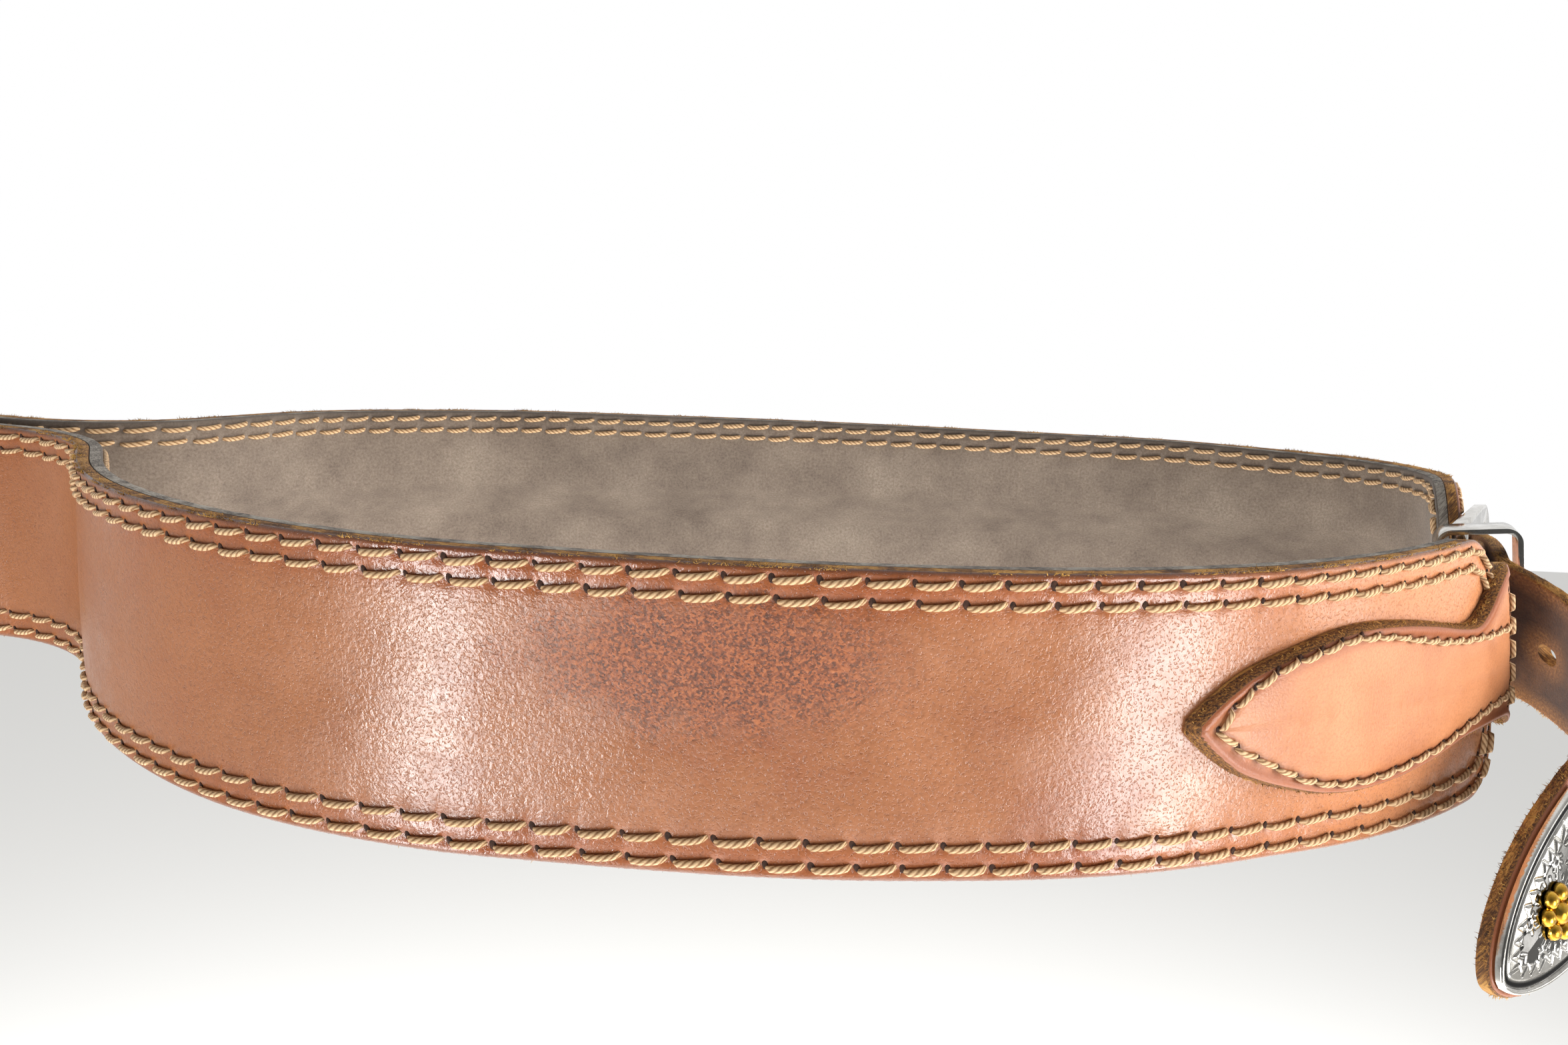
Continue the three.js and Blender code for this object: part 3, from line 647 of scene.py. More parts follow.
def join_copies(name, pattern, copies, longs):
    """One mesh from many placed copies of a pattern. Its UV map runs along each, in metres, and round it."""
    count = len(pattern.points)
    mesh = bpy.data.meshes.new(name)
    every = [tuple(k * count + i for i in face) for k in range(len(copies)) for face in pattern.faces]
    mesh.from_pydata(np.concatenate(copies).tolist(), [], every)
    uv = [pattern.uv * (long * MM, 1) + (k * TWIST_SHIFT * MM, 0) for k, long in enumerate(longs)]
    layer = mesh.uv_layers.new(name="twist")
    layer.data.foreach_set("uv", np.concatenate(uv).astype(np.float32).ravel())
    piece = bpy.data.objects.new(name, mesh)
    bpy.context.scene.collection.objects.link(piece)
    mesh.shade_smooth()
    return piece


# What thread, slits and fibres stand on: a seam, a route, a face's height at a flat place, and a slot
Ground = namedtuple("Ground", "seam route face slot")

# A stitch: its share of the pitch, its slant in degrees, how even its thread is, its sag and its knob.
# Lifts are shares of the thread's thickness, and the knob's place and width are shares of half a stitch.
STITCH_SHARE, STITCH_SLANT, THREAD_EVEN = (0.88, 0.94), (3.5, 7.5), (0.92, 1.08)
STITCH_SHIFT = 0.03
THREAD_LIFT = 0.36
SAG, SAG_EVEN = 0.2, (0.3, 1.5)
KNOB_PLACE, KNOB_WIDE, KNOB_LIFT, KNOB_RISE = -0.82, 0.2, 0.12, 0.16

# An awl slit, a dark lens of painted shade for the inside of a hole: its tilt, how even its size is, its
# half depth, how far it sinks, its place by the hole
SLIT_TILT, SLIT_EVEN = (0.15, 0.5), (0.8, 1.2)
SLIT_DEEP, SLIT_SINK, SLIT_ALONG, SLIT_UP = 0.24, 0.3, -0.25, 0.1


def sew(name, ground, pattern, thread, seed, facing):
    """Lays thread from hole to hole, sagging a little, with a knob where the next stitch goes down."""
    rng = random.Random(seed)
    copies, longs = [], []
    part = pattern.points[:, 0] * 2 - 1
    middle = 1 - part**2
    taper = 1 - 0.35 * np.abs(part) ** 8
    knob = np.exp(-(((part - KNOB_PLACE) / KNOB_WIDE) ** 2))
    lift = thread * (THREAD_LIFT + KNOB_LIFT * knob - np.abs(part) ** 9)
    for stitch in ground.seam.stitches:
        long = stitch.long * rng.uniform(*STITCH_SHARE)
        angle = stitch.angle - math.radians(rng.uniform(*STITCH_SLANT)) * facing
        girth = thread / 2 * rng.uniform(*THREAD_EVEN) * (1 + 0.12 * middle) * taper
        run = part * long / 2 + STITCH_SHIFT * stitch.long
        rise = pattern.points[:, 2] * girth - SAG * rng.uniform(*SAG_EVEN) * middle + KNOB_RISE * knob
        x = stitch.x + run * math.cos(angle) - rise * math.sin(angle)
        z = stitch.z + run * math.sin(angle) + rise * math.cos(angle)
        y = ground.face(stitch.x, stitch.z) + facing * (lift + pattern.points[:, 1] * girth)
        copies.append(ground.route.lay(np.stack([x, y, z], 1)))
        longs.append(long)
    piece = join_copies(name, pattern, copies, longs)
    if facing < 0:
        piece.data.flip_normals()
    return piece


def awl_slits(name, ground, wide, tall, seed):
    """Dark lenses sunk into pulled leather, one at each hole of a seam: painted shade that stands for the
    shadowed insides of the awl's slits.
    """
    deselect()
    bpy.ops.mesh.primitive_uv_sphere_add(segments=8, ring_count=4, radius=1, rotation=(math.pi / 2, 0, 0))
    pattern = take_pattern(freeze())
    rng = random.Random(seed)
    copies = []
    for x, z in ground.seam.holes:
        angle = rng.uniform(*SLIT_TILT)
        size = rng.uniform(*SLIT_EVEN)
        run, rise = pattern.points[:, 0] * wide / 2 * size, pattern.points[:, 2] * tall / 2 * size
        flat = np.stack([x + SLIT_ALONG + run * math.cos(angle) + rise * math.sin(angle),
                         ground.face(x, z) - SLIT_SINK + pattern.points[:, 1] * SLIT_DEEP,
                         z + SLIT_UP - run * math.sin(angle) + rise * math.cos(angle)], 1)
        copies.append(ground.route.lay(flat))
    return join_copies(name, pattern, copies, [1.0] * len(copies))


# Loose fibres
FIBRE_THICK = 0.18
BAND_TUFTS, TUFT_FIBRES, TUFT_WIDE = 150, 50, 1.0
LOWER_FIBRES, LEAF_FIBRES, STRAP_FIBRES = 260, 1400, 2600
Root = namedtuple("Root", "x y z lean long")


def fibres(name, roots, route, seed):
    """Fibres that stand out of raw leather: one thin spike, copied to every root."""
    deselect()
    bpy.ops.mesh.primitive_cone_add(vertices=3, radius1=1, radius2=0, depth=1, location=(0, 0, 0.5))
    pattern = take_pattern(freeze())
    rng = random.Random(seed)
    copies = []
    for root in roots:
        lean = unit(np.array(root.lean))
        side = unit(np.cross(lean, (0.31, 0.52, 0.79)))
        girth = FIBRE_THICK / 2 * rng.uniform(0.6, 1.3)
        axes = np.array([side * girth, np.cross(lean, side) * girth, lean * root.long])
        copies.append(route.lay(np.array([root.x, root.y, root.z]) + pattern.points @ axes))
    return join_copies(name, pattern, copies, [root.long for root in roots])


def tufts(rng, low, high):
    """Places along an edge where fibres stand in tufts."""
    places = []
    for _ in range(BAND_TUFTS):
        centre = rng.uniform(low, high)
        places += [rng.gauss(centre, TUFT_WIDE) for _ in range(rng.randint(TUFT_FIBRES // 2, TUFT_FIBRES))]
    return [place for place in places if low < place < high]


def band_roots(seed):
    """Fibres in tufts along the band's upper edge, and single ones along its lower edge."""
    rng = random.Random(seed)
    roots = []
    for x in tufts(rng, BAND_START + 16, BAND_STOP - 16):
        lean = (rng.uniform(-1.4, 1.4), rng.uniform(-0.4, 1.2), rng.uniform(0.1, 0.9))
        roots.append(Root(x, rng.uniform(-1.6, 0.0), BAND_TALL / 2 - 0.2, lean, rng.uniform(0.3, 1.0)))
    for _ in range(LOWER_FIBRES):
        x = rng.uniform(BAND_START + 22, BAND_STOP - 22)
        lean = (rng.uniform(-1, 1), rng.uniform(-0.3, 0.8), -rng.uniform(0.2, 0.8))
        roots.append(Root(x, rng.uniform(-1.9, -0.6), -BAND_TALL / 2 + 0.15, lean, rng.uniform(0.3, 0.8)))
    return roots


def leaf_roots(outline, low, high, face, seed):
    """Fibres along a leaf's pared edge, leaning every way and out of it."""
    rng = random.Random(seed)
    near = [place for place in outline if low < place[0] < high]
    centre = np.mean(near, 0)
    roots = []
    for _ in range(LEAF_FIBRES):
        x, z = near[rng.randrange(len(near))]
        inward = unit(centre - (x, z)) * rng.uniform(0.0, 0.9)
        lean = (rng.uniform(-1, 1), rng.uniform(0.0, 0.9), rng.uniform(-1, 1))
        y = face + rng.uniform(0.2, 1.2)
        roots.append(Root(x + inward[0], y, z + inward[1], lean, rng.uniform(0.25, 0.7)))
    return roots


def strap_roots(seed):
    """Fibres along both edges of the tongue's loose end."""
    rng = random.Random(seed)
    roots = []
    for _ in range(STRAP_FIBRES):
        x = rng.uniform(10, TONGUE_STOP - 1)
        side = rng.choice((1, -1))
        z = side * (tongue_top(x) - 0.15)
        lean = (rng.uniform(-0.8, 0.8), rng.uniform(-1.2, 0.3), side * rng.uniform(0.2, 1))
        roots.append(Root(x, rng.uniform(-1.2, 0.6), z, lean, rng.uniform(0.3, 1.0)))
    return roots


# Materials
def linear(hex_colour):
    """A colour for a shader from sRGB hex digits."""
    parts = [int(hex_colour[i:i + 2], 16) / 255 for i in (0, 2, 4)]
    return (*[p / 12.92 if p <= 0.04045 else ((p + 0.055) / 1.055) ** 2.4 for p in parts], 1.0)


def add(tree, kind, inputs=(), give=0, stops=(), **settings):
    """Adds a shader node with its settings, inputs and ramp's stops, and gives one output. Inputs, which are
    values or links, come by name or number, or in a list from the first one on."""
    node = tree.nodes.new("ShaderNode" + kind)
    for key, value in settings.items():
        setattr(node, key, value)
    for key, value in inputs.items() if isinstance(inputs, dict) else enumerate(inputs):
        if isinstance(value, bpy.types.NodeSocket):
            tree.links.new(value, node.inputs[key])
        else:
            node.inputs[key].default_value = value
    for i, (position, colour) in enumerate(stops):
        if i >= len(node.color_ramp.elements):
            node.color_ramp.elements.new(position)
        node.color_ramp.elements[i].position = position
        node.color_ramp.elements[i].color = linear(colour)
    return node if give is None else node.outputs[give]


def make_material(name, paint, *colours):
    """A material from a function that adds its patterns, and returns what goes into the surface shader."""
    material = bpy.data.materials.new(name)
    material.use_nodes = True
    tree = material.node_tree
    tree.nodes.clear()
    surface = add(tree, "BsdfPrincipled", paint(partial(add, tree), *colours))
    add(tree, "OutputMaterial", {"Surface": surface}, give=None)
    return material


def per_mm(size):
    """The scale of a pattern whose cells are this many millimetres, on coordinates in metres."""
    return 1 / (size * MM)


# A MapRange takes a value, the range that it comes from and the range that it goes to. A Mix node that mixes
# colours has its factor at 0 and its colours at 6 and 7, and gives its colour at 2.
def tint(node, tone, *layers):
    """Lays colours over a tone. Each comes in, up to a share, as a measure goes between two values."""
    for measure, start, full, most, colour in layers:
        share = node("MapRange", [measure, start, full, 0, most])
        tone = node("Mix", {0: share, 6: tone, 7: linear(colour)}, give=2, data_type="RGBA")
    return tone


def shade(node, tone, share, pattern, stops):
    """Multiplies a tone by a share of a pattern's colours."""
    colours = node("ValToRGB", [pattern], stops=stops)
    return node("Mix", {0: share, 6: tone, 7: colours}, give=2, data_type="RGBA", blend_type="MULTIPLY")


# The water stain on the band: its middle and its reach, in metres on the flat leather
STAIN_PLACE, STAIN_REACH = (0.197, 0.0085, 0), (0.027, 0.0105, 1)


def bridle_leather(node):
    """Vegetable-tanned bridle leather with a wax glaze: a low gloss broken by pin-prick pores, tan to
    red-brown, darker at its edges, and rough, dark and speckled where water has opened the grain."""
    flat = node("UVMap", uv_map="flat")
    along = node("SeparateXYZ", [flat], give="X")
    edge, pull = [node("Attribute", give="Fac", attribute_name=name) for name in ("edge", "pulled")]
    clouds, blotches, fine = [
        node("TexNoise", {"Vector": flat, "Scale": per_mm(size), "Detail": detail, "Roughness": rough})
        for size, detail, rough in ((30, 5, 0.62), (7, 4, 0.7), (0.8, 4, 0.7))]
    grain = node("TexNoise", {"Vector": flat, "Scale": per_mm(0.72), "Detail": 2, "Roughness": 0.6,
                              "Distortion": 0.5})

    # Pores are pits in swayed cells, and speckles are single cells, more of them where the grain is high
    sway = node("TexNoise", {"Vector": flat, "Scale": per_mm(0.8), "Detail": 1}, give="Color")
    pore = node("VectorMath", [sway, (0.0014, 0.001, 0.0), flat], operation="MULTIPLY_ADD")
    pore = node("TexVoronoi", {"Vector": pore, "Scale": per_mm(0.6)}, give="Distance",
                voronoi_dimensions="2D")
    pore = node("Math", [fine, 0.3, pore], operation="MULTIPLY_ADD")
    pit = node("MapRange", [pore, 0.42, 0.22], interpolation_type="SMOOTHSTEP")
    cell = node("TexVoronoi", {"Vector": flat, "Scale": per_mm(0.3)}, give="Color", voronoi_dimensions="2D")
    chance = node("SeparateColor", [cell])
    chance = node("Math", [chance, 0.5, -0.15], operation="MULTIPLY_ADD")
    chance = node("Math", [grain, 0.75, chance], operation="MULTIPLY_ADD")

    # Tone: warm tan clouds, redder near the edges and towards the fold, and lighter by the back leaf, which
    # is a painted highlight
    tone = node("ValToRGB", [clouds], stops=[(0.34, "875034"), (0.5, "925D3C"), (0.66, "9E6846")])
    tone = tint(node, tone, (edge, 7.5, 3.5, 0.45, "964E2A"))
    to_fold = node("MapRange", [along, 0.245, 0.285, 0, 0.55])
    # The second tint here is painted light: it lightens the band's base colour near the back leaf
    tone = tint(node, tone, (to_fold, 0, 1, 1, "9A5A26"), (along, 0.135, 0.08, 0.9, "C4845A"))

    # The stain: an oval whose border is broken by the blotches
    oval = node("VectorMath", [flat, STAIN_PLACE], operation="SUBTRACT")
    oval = node("VectorMath", [oval, STAIN_REACH], operation="DIVIDE")
    oval = node("VectorMath", [oval], give="Value", operation="LENGTH")
    broken = node("Math", [blotches, 1.3, oval], operation="MULTIPLY_ADD")
    stain = node("MapRange", [broken, 1.95, 1.2],
                 interpolation_type="SMOOTHSTEP")
    speckle = node("ValToRGB", [chance], stops=[
        (0.1, "3A1C0C"), (0.3, "582C14"), (0.48, "7C401E"), (0.66, "98542A"), (0.95, "AA6638")])
    share = node("Math", [stain, 0.95], operation="MULTIPLY")
    tone = node("Mix", {0: share, 6: tone, 7: speckle}, give=2, data_type="RGBA")

    # Finger dirt, painted shade in the pores' pits and in the pulled dents round each stitch hole, and a
    # darker rim
    tone = shade(node, tone, 0.5, fine, [(0.3, "B8A898"), (0.5, "FFFFFF"), (0.75, "FFF2E4")])
    tone = tint(node, tone, (pit, 0, 1, 0.3, "7A4020"), (pull, 0.7, 1.25, 0.5, "3A1F12"),
                (edge, 1.0, 0.1, 0.8, "45281A"))

    # Gloss: waxed and shiny, dull in the stain and past the bend, uneven from handling
    gloss = node("MapRange", [blotches, 0.35, 0.65, 0.15, 0.3])
    gloss = node("Math", [stain, 0.3, gloss], operation="MULTIPLY_ADD")
    gloss = node("Math", [to_fold, 0.22, gloss], operation="MULTIPLY_ADD", use_clamp=True)

    # The grain stands up more on the belt's left, where sweat and rubbing have raised it
    raised = node("MapRange", [along, 0.14, 0.21, 0.6, 1])
    depth = node("Math", [grain, raised], operation="MULTIPLY")
    for pattern, part in ((fine, 0.25), (pit, -0.35), (blotches, 1.0)):
        depth = node("Math", [pattern, part, depth], operation="MULTIPLY_ADD")
    return {"Base Color": tone, "Roughness": gloss, "IOR": 1.58,
            "Normal": node("Bump", {"Height": depth, "Strength": 1.0, "Distance": 0.00009})}


def billet_leather(node):
    """Smoother latigo leather: an orange-tan satin face with a fine grain, golden where it's pared raw."""
    flat = node("UVMap", uv_map="flat")
    edge, pull, bare = [node("Attribute", give="Fac", attribute_name=name)
                        for name in ("edge", "pulled", "bare")]
    clouds, fine, hair = [
        node("TexNoise", {"Vector": flat, "Scale": per_mm(size), "Detail": detail, "Roughness": rough})
        for size, detail, rough in ((18, 5, 0.6), (0.5, 3, 0.7), (0.45, 5, 0.8))]
    pore = node("TexVoronoi", {"Vector": flat, "Scale": per_mm(0.42)}, give="Distance",
                voronoi_dimensions="2D")
    tone = node("ValToRGB", [clouds], stops=[(0.35, "A66A46"), (0.5, "B4764E"), (0.68, "BE8058")])
    tone = shade(node, tone, 0.5, fine, [(0.3, "C8B8A8"), (0.55, "FFFFFF")])
    # Painted shade: the second tint darkens the pulled dents round each stitch hole
    tone = tint(node, tone, (edge, 3.6, 2.0, 0.8, "8A4C2E"), (pull, 0.45, 1.1, 0.75, "44261A"))
    raw = node("ValToRGB", [hair], stops=[
        (0.34, "24160F"), (0.46, "52341F"), (0.55, "96642F"), (0.66, "C08A42")])
    torn = node("Math", [hair, 0.9, bare], operation="MULTIPLY_ADD")
    torn = node("MapRange", [torn, 0.9, 1.15])
    tone = node("Mix", {0: torn, 6: tone, 7: raw}, give=2, data_type="RGBA")
    gloss = node("MapRange", [clouds, 0.35, 0.65, 0.3, 0.42])
    gloss = node("Math", [torn, 0.5, gloss], operation="MULTIPLY_ADD", use_clamp=True)
    shaggy = node("Math", [torn, hair], operation="MULTIPLY")
    depth = node("Math", [pore, 0.35, fine], operation="MULTIPLY_ADD")
    depth = node("Math", [shaggy, 5.0, depth], operation="MULTIPLY_ADD")
    return {"Base Color": tone, "Roughness": gloss, "IOR": 1.5,
            "Normal": node("Bump", {"Height": depth, "Strength": 0.8, "Distance": 0.00007})}


def raw_edge(node, dark, mid, gold, bright):
    """A cut edge of leather, never burnished: matted light fibres over dark, greasy ones, in streaks."""
    flat = node("UVMap", uv_map="flat")
    streaks = node("Mapping", {"Vector": flat, "Scale": (0.35, 1.0, 1.0)})
    hair = node("TexNoise", {"Vector": streaks, "Scale": per_mm(0.4), "Detail": 5, "Roughness": 0.75})
    patches = node("TexNoise", {"Vector": flat, "Scale": per_mm(5), "Detail": 3})
    mixed = node("Math", [patches, 0.8, hair], operation="MULTIPLY_ADD")
    tone = node("ValToRGB", [mixed], stops=[(0.66, dark), (0.8, mid), (0.92, gold), (1.0, bright)])
    return {"Base Color": tone, "Roughness": 0.85,
            "Normal": node("Bump", {"Height": hair, "Strength": 1.0, "Distance": 0.0003})}


def flesh_side(node):
    """The flesh side: brushed suede, dark with sweat and handling in the middle, golden near its edges."""
    flat = node("UVMap", uv_map="flat")
    edge = node("Attribute", give="Fac", attribute_name="edge")
    clouds, hair = [
        node("TexNoise", {"Vector": flat, "Scale": per_mm(size), "Detail": 5, "Roughness": rough})
        for size, rough in ((9, 0.65), (0.5, 0.8))]
    dark = node("ValToRGB", [clouds], stops=[(0.35, "42281A"), (0.5, "583822"), (0.68, "754C2C")])
    gold = node("ValToRGB", [hair], stops=[(0.35, "7A4C26"), (0.5, "9A6534"), (0.7, "BE8744")])
    near = node("Math", [clouds, 4.5, edge], operation="MULTIPLY_ADD")
    near = node("MapRange", [near, 6.2, 2.4])
    tone = node("Mix", {0: near, 6: dark, 7: gold}, give=2, data_type="RGBA")
    tone = shade(node, tone, 0.7, hair, [(0.3, "9A8C80"), (0.6, "FFFFFF")])
    return {"Base Color": tone, "Roughness": 0.95, "Sheen Weight": 0.15,
            "Normal": node("Bump", {"Height": hair, "Strength": 1.0, "Distance": 0.00022})}


def lining_suede(node):
    """Chrome-tanned split suede: grey-beige, matt and napped, darker where it has rubbed at its edges."""
    flat = node("UVMap", uv_map="flat")
    edge = node("Attribute", give="Fac", attribute_name="edge")
    clouds, nap = [
        node("TexNoise", {"Vector": flat, "Scale": per_mm(size), "Detail": detail, "Roughness": rough})
        for size, detail, rough in ((22, 6, 0.68), (0.6, 5, 0.8))]
    tone = node("ValToRGB", [clouds], stops=[(0.3, "6E6156"), (0.5, "85776A"), (0.7, "988A7B")])
    tone = shade(node, tone, 0.8, nap, [(0.3, "A89C92"), (0.62, "FFFFFF")])
    tone = tint(node, tone, (edge, 3.0, 0.2, 0.6, "4E4640"))
    return {"Base Color": tone, "Roughness": 0.95, "Sheen Weight": 0.1,
            "Normal": node("Bump", {"Height": nap, "Strength": 0.9, "Distance": 0.00018})}


PLIES = 3.0
PLY_LONG = 1.15


def waxed_thread(node):
    """Three-ply linen thread, waxed: plies with a painted highlight along each crown and painted shade in
    the grooves between them.
    """
    twist = node("UVMap", uv_map="twist")
    along, turns = [node("SeparateXYZ", [twist], give=axis) for axis in "XY"]
    phase = node("Math", [turns, PLIES], operation="MULTIPLY")
    phase = node("Math", [along, per_mm(PLY_LONG), phase], operation="MULTIPLY_ADD")
    phase = node("Math", [phase, 2 * math.pi], operation="MULTIPLY")
    wave = node("Math", [phase], operation="SINE")
    fuzz = node("TexNoise", {"Vector": twist, "Scale": per_mm(0.25), "Detail": 3})
    # The ply wave paints a highlight on each ply's crown and shade in the grooves between plies
    tone = node("MapRange", [wave, -1.0, 0.9])
    tone = node("Math", [fuzz, 0.7, tone], operation="MULTIPLY_ADD")
    tone = node("ValToRGB", [tone], stops=[
        (0.25, "7C5634"), (0.55, "A88058"), (0.9, "CCA87A"), (1.0, "D6B48A")])
    depth = node("Math", [fuzz, 0.9, wave], operation="MULTIPLY_ADD")
    return {"Base Color": tone, "Roughness": 0.65,
            "Normal": node("Bump", {"Height": depth, "Strength": 0.7, "Distance": 0.00008})}


def awl_hole(node):
    """Painted shade for the inside of an awl hole: dark and matt, mottled a little."""
    place = node("TexCoord", give="Object")
    hair = node("TexNoise", {"Vector": place, "Scale": per_mm(0.4), "Detail": 3})
    return {"Base Color": node("ValToRGB", [hair], stops=[(0.35, "24140C"), (0.7, "46291A")]),
            "Roughness": 0.9}


def golden_fibre(node):
    """Single fibres of vegetable-tanned leather: golden, and dark brown in some tufts."""
    place = node("TexCoord", give="Object")
    patches = node("TexNoise", {"Vector": place, "Scale": per_mm(4), "Detail": 4, "Roughness": 0.8})
    tone = node("ValToRGB", [patches], stops=[(0.36, "5A3C20"), (0.46, "9A7036"), (0.6, "CC9C50")])
    return {"Base Color": tone, "Roughness": 0.8}


def polished_silver(node):
    """Nickel silver, buffed to a mirror: hairline scratches and faint grey tarnish blur it in places."""
    place = node("TexCoord", give="Object")
    haze = node("TexNoise", {"Vector": place, "Scale": per_mm(5), "Detail": 5, "Roughness": 0.7})
    stretched = node("Mapping", {"Vector": place, "Scale": (1.0, 1.0, 0.12)})
    scratches = node("TexNoise", {"Vector": stretched, "Scale": per_mm(0.12), "Detail": 2})
    tone = node("ValToRGB", [haze], stops=[(0.35, "ABA79F"), (0.55, "CFCCC6"), (0.7, "D9D7D2")])
    oxide = node("Attribute", give="Fac", attribute_name="oxide")
    tone = tint(node, tone, (oxide, 0, 1, 1, "0A0908"))
    gloss = node("MapRange", [haze, 0.35, 0.65, 0.2, 0.09])
    return {"Base Color": tone, "Roughness": gloss, "Metallic": 1.0,
            "Normal": node("Bump", {"Height": scratches, "Strength": 0.25, "Distance": 0.00001})}


def jewellers_gold(node):
    """Jeweller's bronze, cast and buffed: bright warm yellow, browner in small patches."""
    place = node("TexCoord", give="Object")
    haze = node("TexNoise", {"Vector": place, "Scale": per_mm(1.6), "Detail": 4, "Roughness": 0.7})
    tone = node("ValToRGB", [haze], stops=[(0.3, "9A6A22"), (0.5, "D9A63C"), (0.7, "E8BE58")])
    gloss = node("MapRange", [haze, 0.3, 0.7, 0.34, 0.14])
    return {"Base Color": tone, "Roughness": gloss, "Metallic": 1.0}


def paper_floor(node):
    """Matt white paper, which gives soft, even light and no highlight."""
    return {"Base Color": linear("F4F3F0"), "Roughness": 0.9}


MATERIALS = {key: make_material(*row) for key, row in {
    "grain": ("bridle_leather_waxed", bridle_leather),
    "billet": ("latigo_leather_satin", billet_leather),
    "edge": ("raw_leather_edge", raw_edge, "2A1A10", "664222", "9C6C36", "C4924C"),
    "flesh": ("leather_flesh_suede", flesh_side),
    "lining": ("lining_split_suede", lining_suede),
    "lining_edge": ("raw_suede_edge", raw_edge, "3A332E", "6A625A", "8E867C", "A8A094"),
    "thread": ("linen_thread_waxed", waxed_thread),
    "hole": ("awl_hole_painted_shade", awl_hole),
    "fibre": ("loose_leather_fibre", golden_fibre),
    "silver": ("nickel_silver_buffed", polished_silver),
    "gold": ("jewellers_bronze_buffed", jewellers_gold),
    "paper": ("paper_floor_matt", paper_floor),
}.items()}


def dress(piece, slot, *materials, stands_for=()):
    """Gives a piece its materials, its body and the nodes that it stands for. The slot is not used."""
    if piece.data.materials:
        piece.data.materials.clear()
    for material in materials:
        piece.data.materials.append(MATERIALS[material])
    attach(piece, BODY)
    if stands_for:
        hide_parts(*stands_for)
    return piece


# The leather pieces
LINING_GAP = 0.08
LINING_NAP = 0.2
LEAF_SLIDE = 0.2
SLOT_END, SLOT_TALL = 9, 4.4
STRAP_STEP, LEAF_STEP, TONGUE_STEP = 0.9, 0.7, 0.85
BACK_LEAF_END, FRONT_LEAF_END = 42, -44
BORDER_DEEP, BORDER_PLACE, BORDER_WIDE, TIP_ROUND = 0.25, 1.1, 0.35, 1.2
NEAR_TIP = np.array([0, 0.2, 0.4, 0.7, 1.1, 1.6, 2.2, 2.8])
NEAR_POINT = np.array([7, 6, 5.1, 4.3, 3.6, 2.9, 2.3, 1.8, 1.4, 1.0, 0.7, 0.45, 0.25, 0.1, 0.02])


def make_band(seam):
    band = Leather("belt_band_leather", band_stops(BAND_STEP), band_top, BAND_EDGE_STEPS, 12)
    fall = rounding(band.edge, BAND_ROUND)
    face = band_face(band.flat[:, 0], band.flat[:, 2]) - fall
    band.mould(face - PULL * pulled(band.flat, seam, 0.85), -BAND_THICK + 0.25 * fall)
    dress(band.bend(BELT, seam), "band_leather", "grain", "edge", "flesh", stands_for=["belt_band"])


def make_lining(seam):
    """The lining behind the band. Gives the height of its inner face."""
    outer = -BAND_THICK - LINING_GAP
    inner = outer - LINING_THICK - LINING_NAP
    lining = Leather("belt_lining_suede", band_stops(BAND_STEP * 2), band_top, BAND_EDGE_STEPS, 8)
    fall = rounding(lining.edge, LINING_ROUND)
    lining.mould(outer, inner + fall + 0.5 * PULL * pulled(lining.flat, seam, 0.9))
    dress(lining.bend(BELT, seam), "lining_leather", "lining", "lining_edge", "lining",
          stands_for=["belt_lining"])
    return inner


def billet_top(x):
    return smooth_table(BUCKLE_LEAF, BUCKLE_LEAF_TIP - x)


def billet_bottom(x):
    return -smooth_table(LOWER_BILLET, BUCKLE_LEAF_TIP - x)


def from_billet_tip(flat):
    return BUCKLE_LEAF_TIP - flat[:, 0]


def make_buckle_billet(seam):
    """The back leaf and its strap, slotted for the prong at the fold. Gives its outline."""
    strap, leaf = np.arange(BILLET.stops[0], 30, STRAP_STEP), np.arange(30.5, BUCKLE_LEAF_TIP - 3, LEAF_STEP)
    stops = np.concatenate([strap, leaf, BUCKLE_LEAF_TIP - NEAR_TIP[::-1]])
    billet = Leather("buckle_billet_leather", stops, billet_top, LEAF_EDGE_STEPS, 12, billet_bottom)
    from_tip = from_billet_tip(billet.flat)
    flesh = -LEAF_SLIDE * (1 - strap_share(from_tip))
    billet.mould(billet_height(from_tip, billet.edge) - PULL * pulled(billet.flat, seam, 0.7), flesh)
    fold_middle = -math.pi * (BAR_RADIUS + CLEAR + STRAP_THICK / 2) / 2
    billet.punch(fold_middle, 2 * (SLOT_END - fold_middle), SLOT_TALL)
    dress(billet.bend(BILLET, seam, from_billet_tip), "billet_leather", "billet", "edge", "flesh",
          stands_for=["buckle_billet"])
    return billet.outline


def tip_half(left):
    """Half the tongue's width at a distance from its point."""
    taken = 1 - min(1.0, max(0.0, left) / TIP_TAPER)
    return STRAP_TALL / 2 * max(1e-3, 1 - taken**2) ** TIP_BLUNT


def tongue_top(x):
    if x > TONGUE_STOP - TIP_TAPER:
        return tip_half(TONGUE_STOP - x)
    return smooth_table(TONGUE_LEAF, x - TONGUE_LEAF_TIP)


def from_tongue_leaf(flat):
    return flat[:, 0] - TONGUE_LEAF_TIP


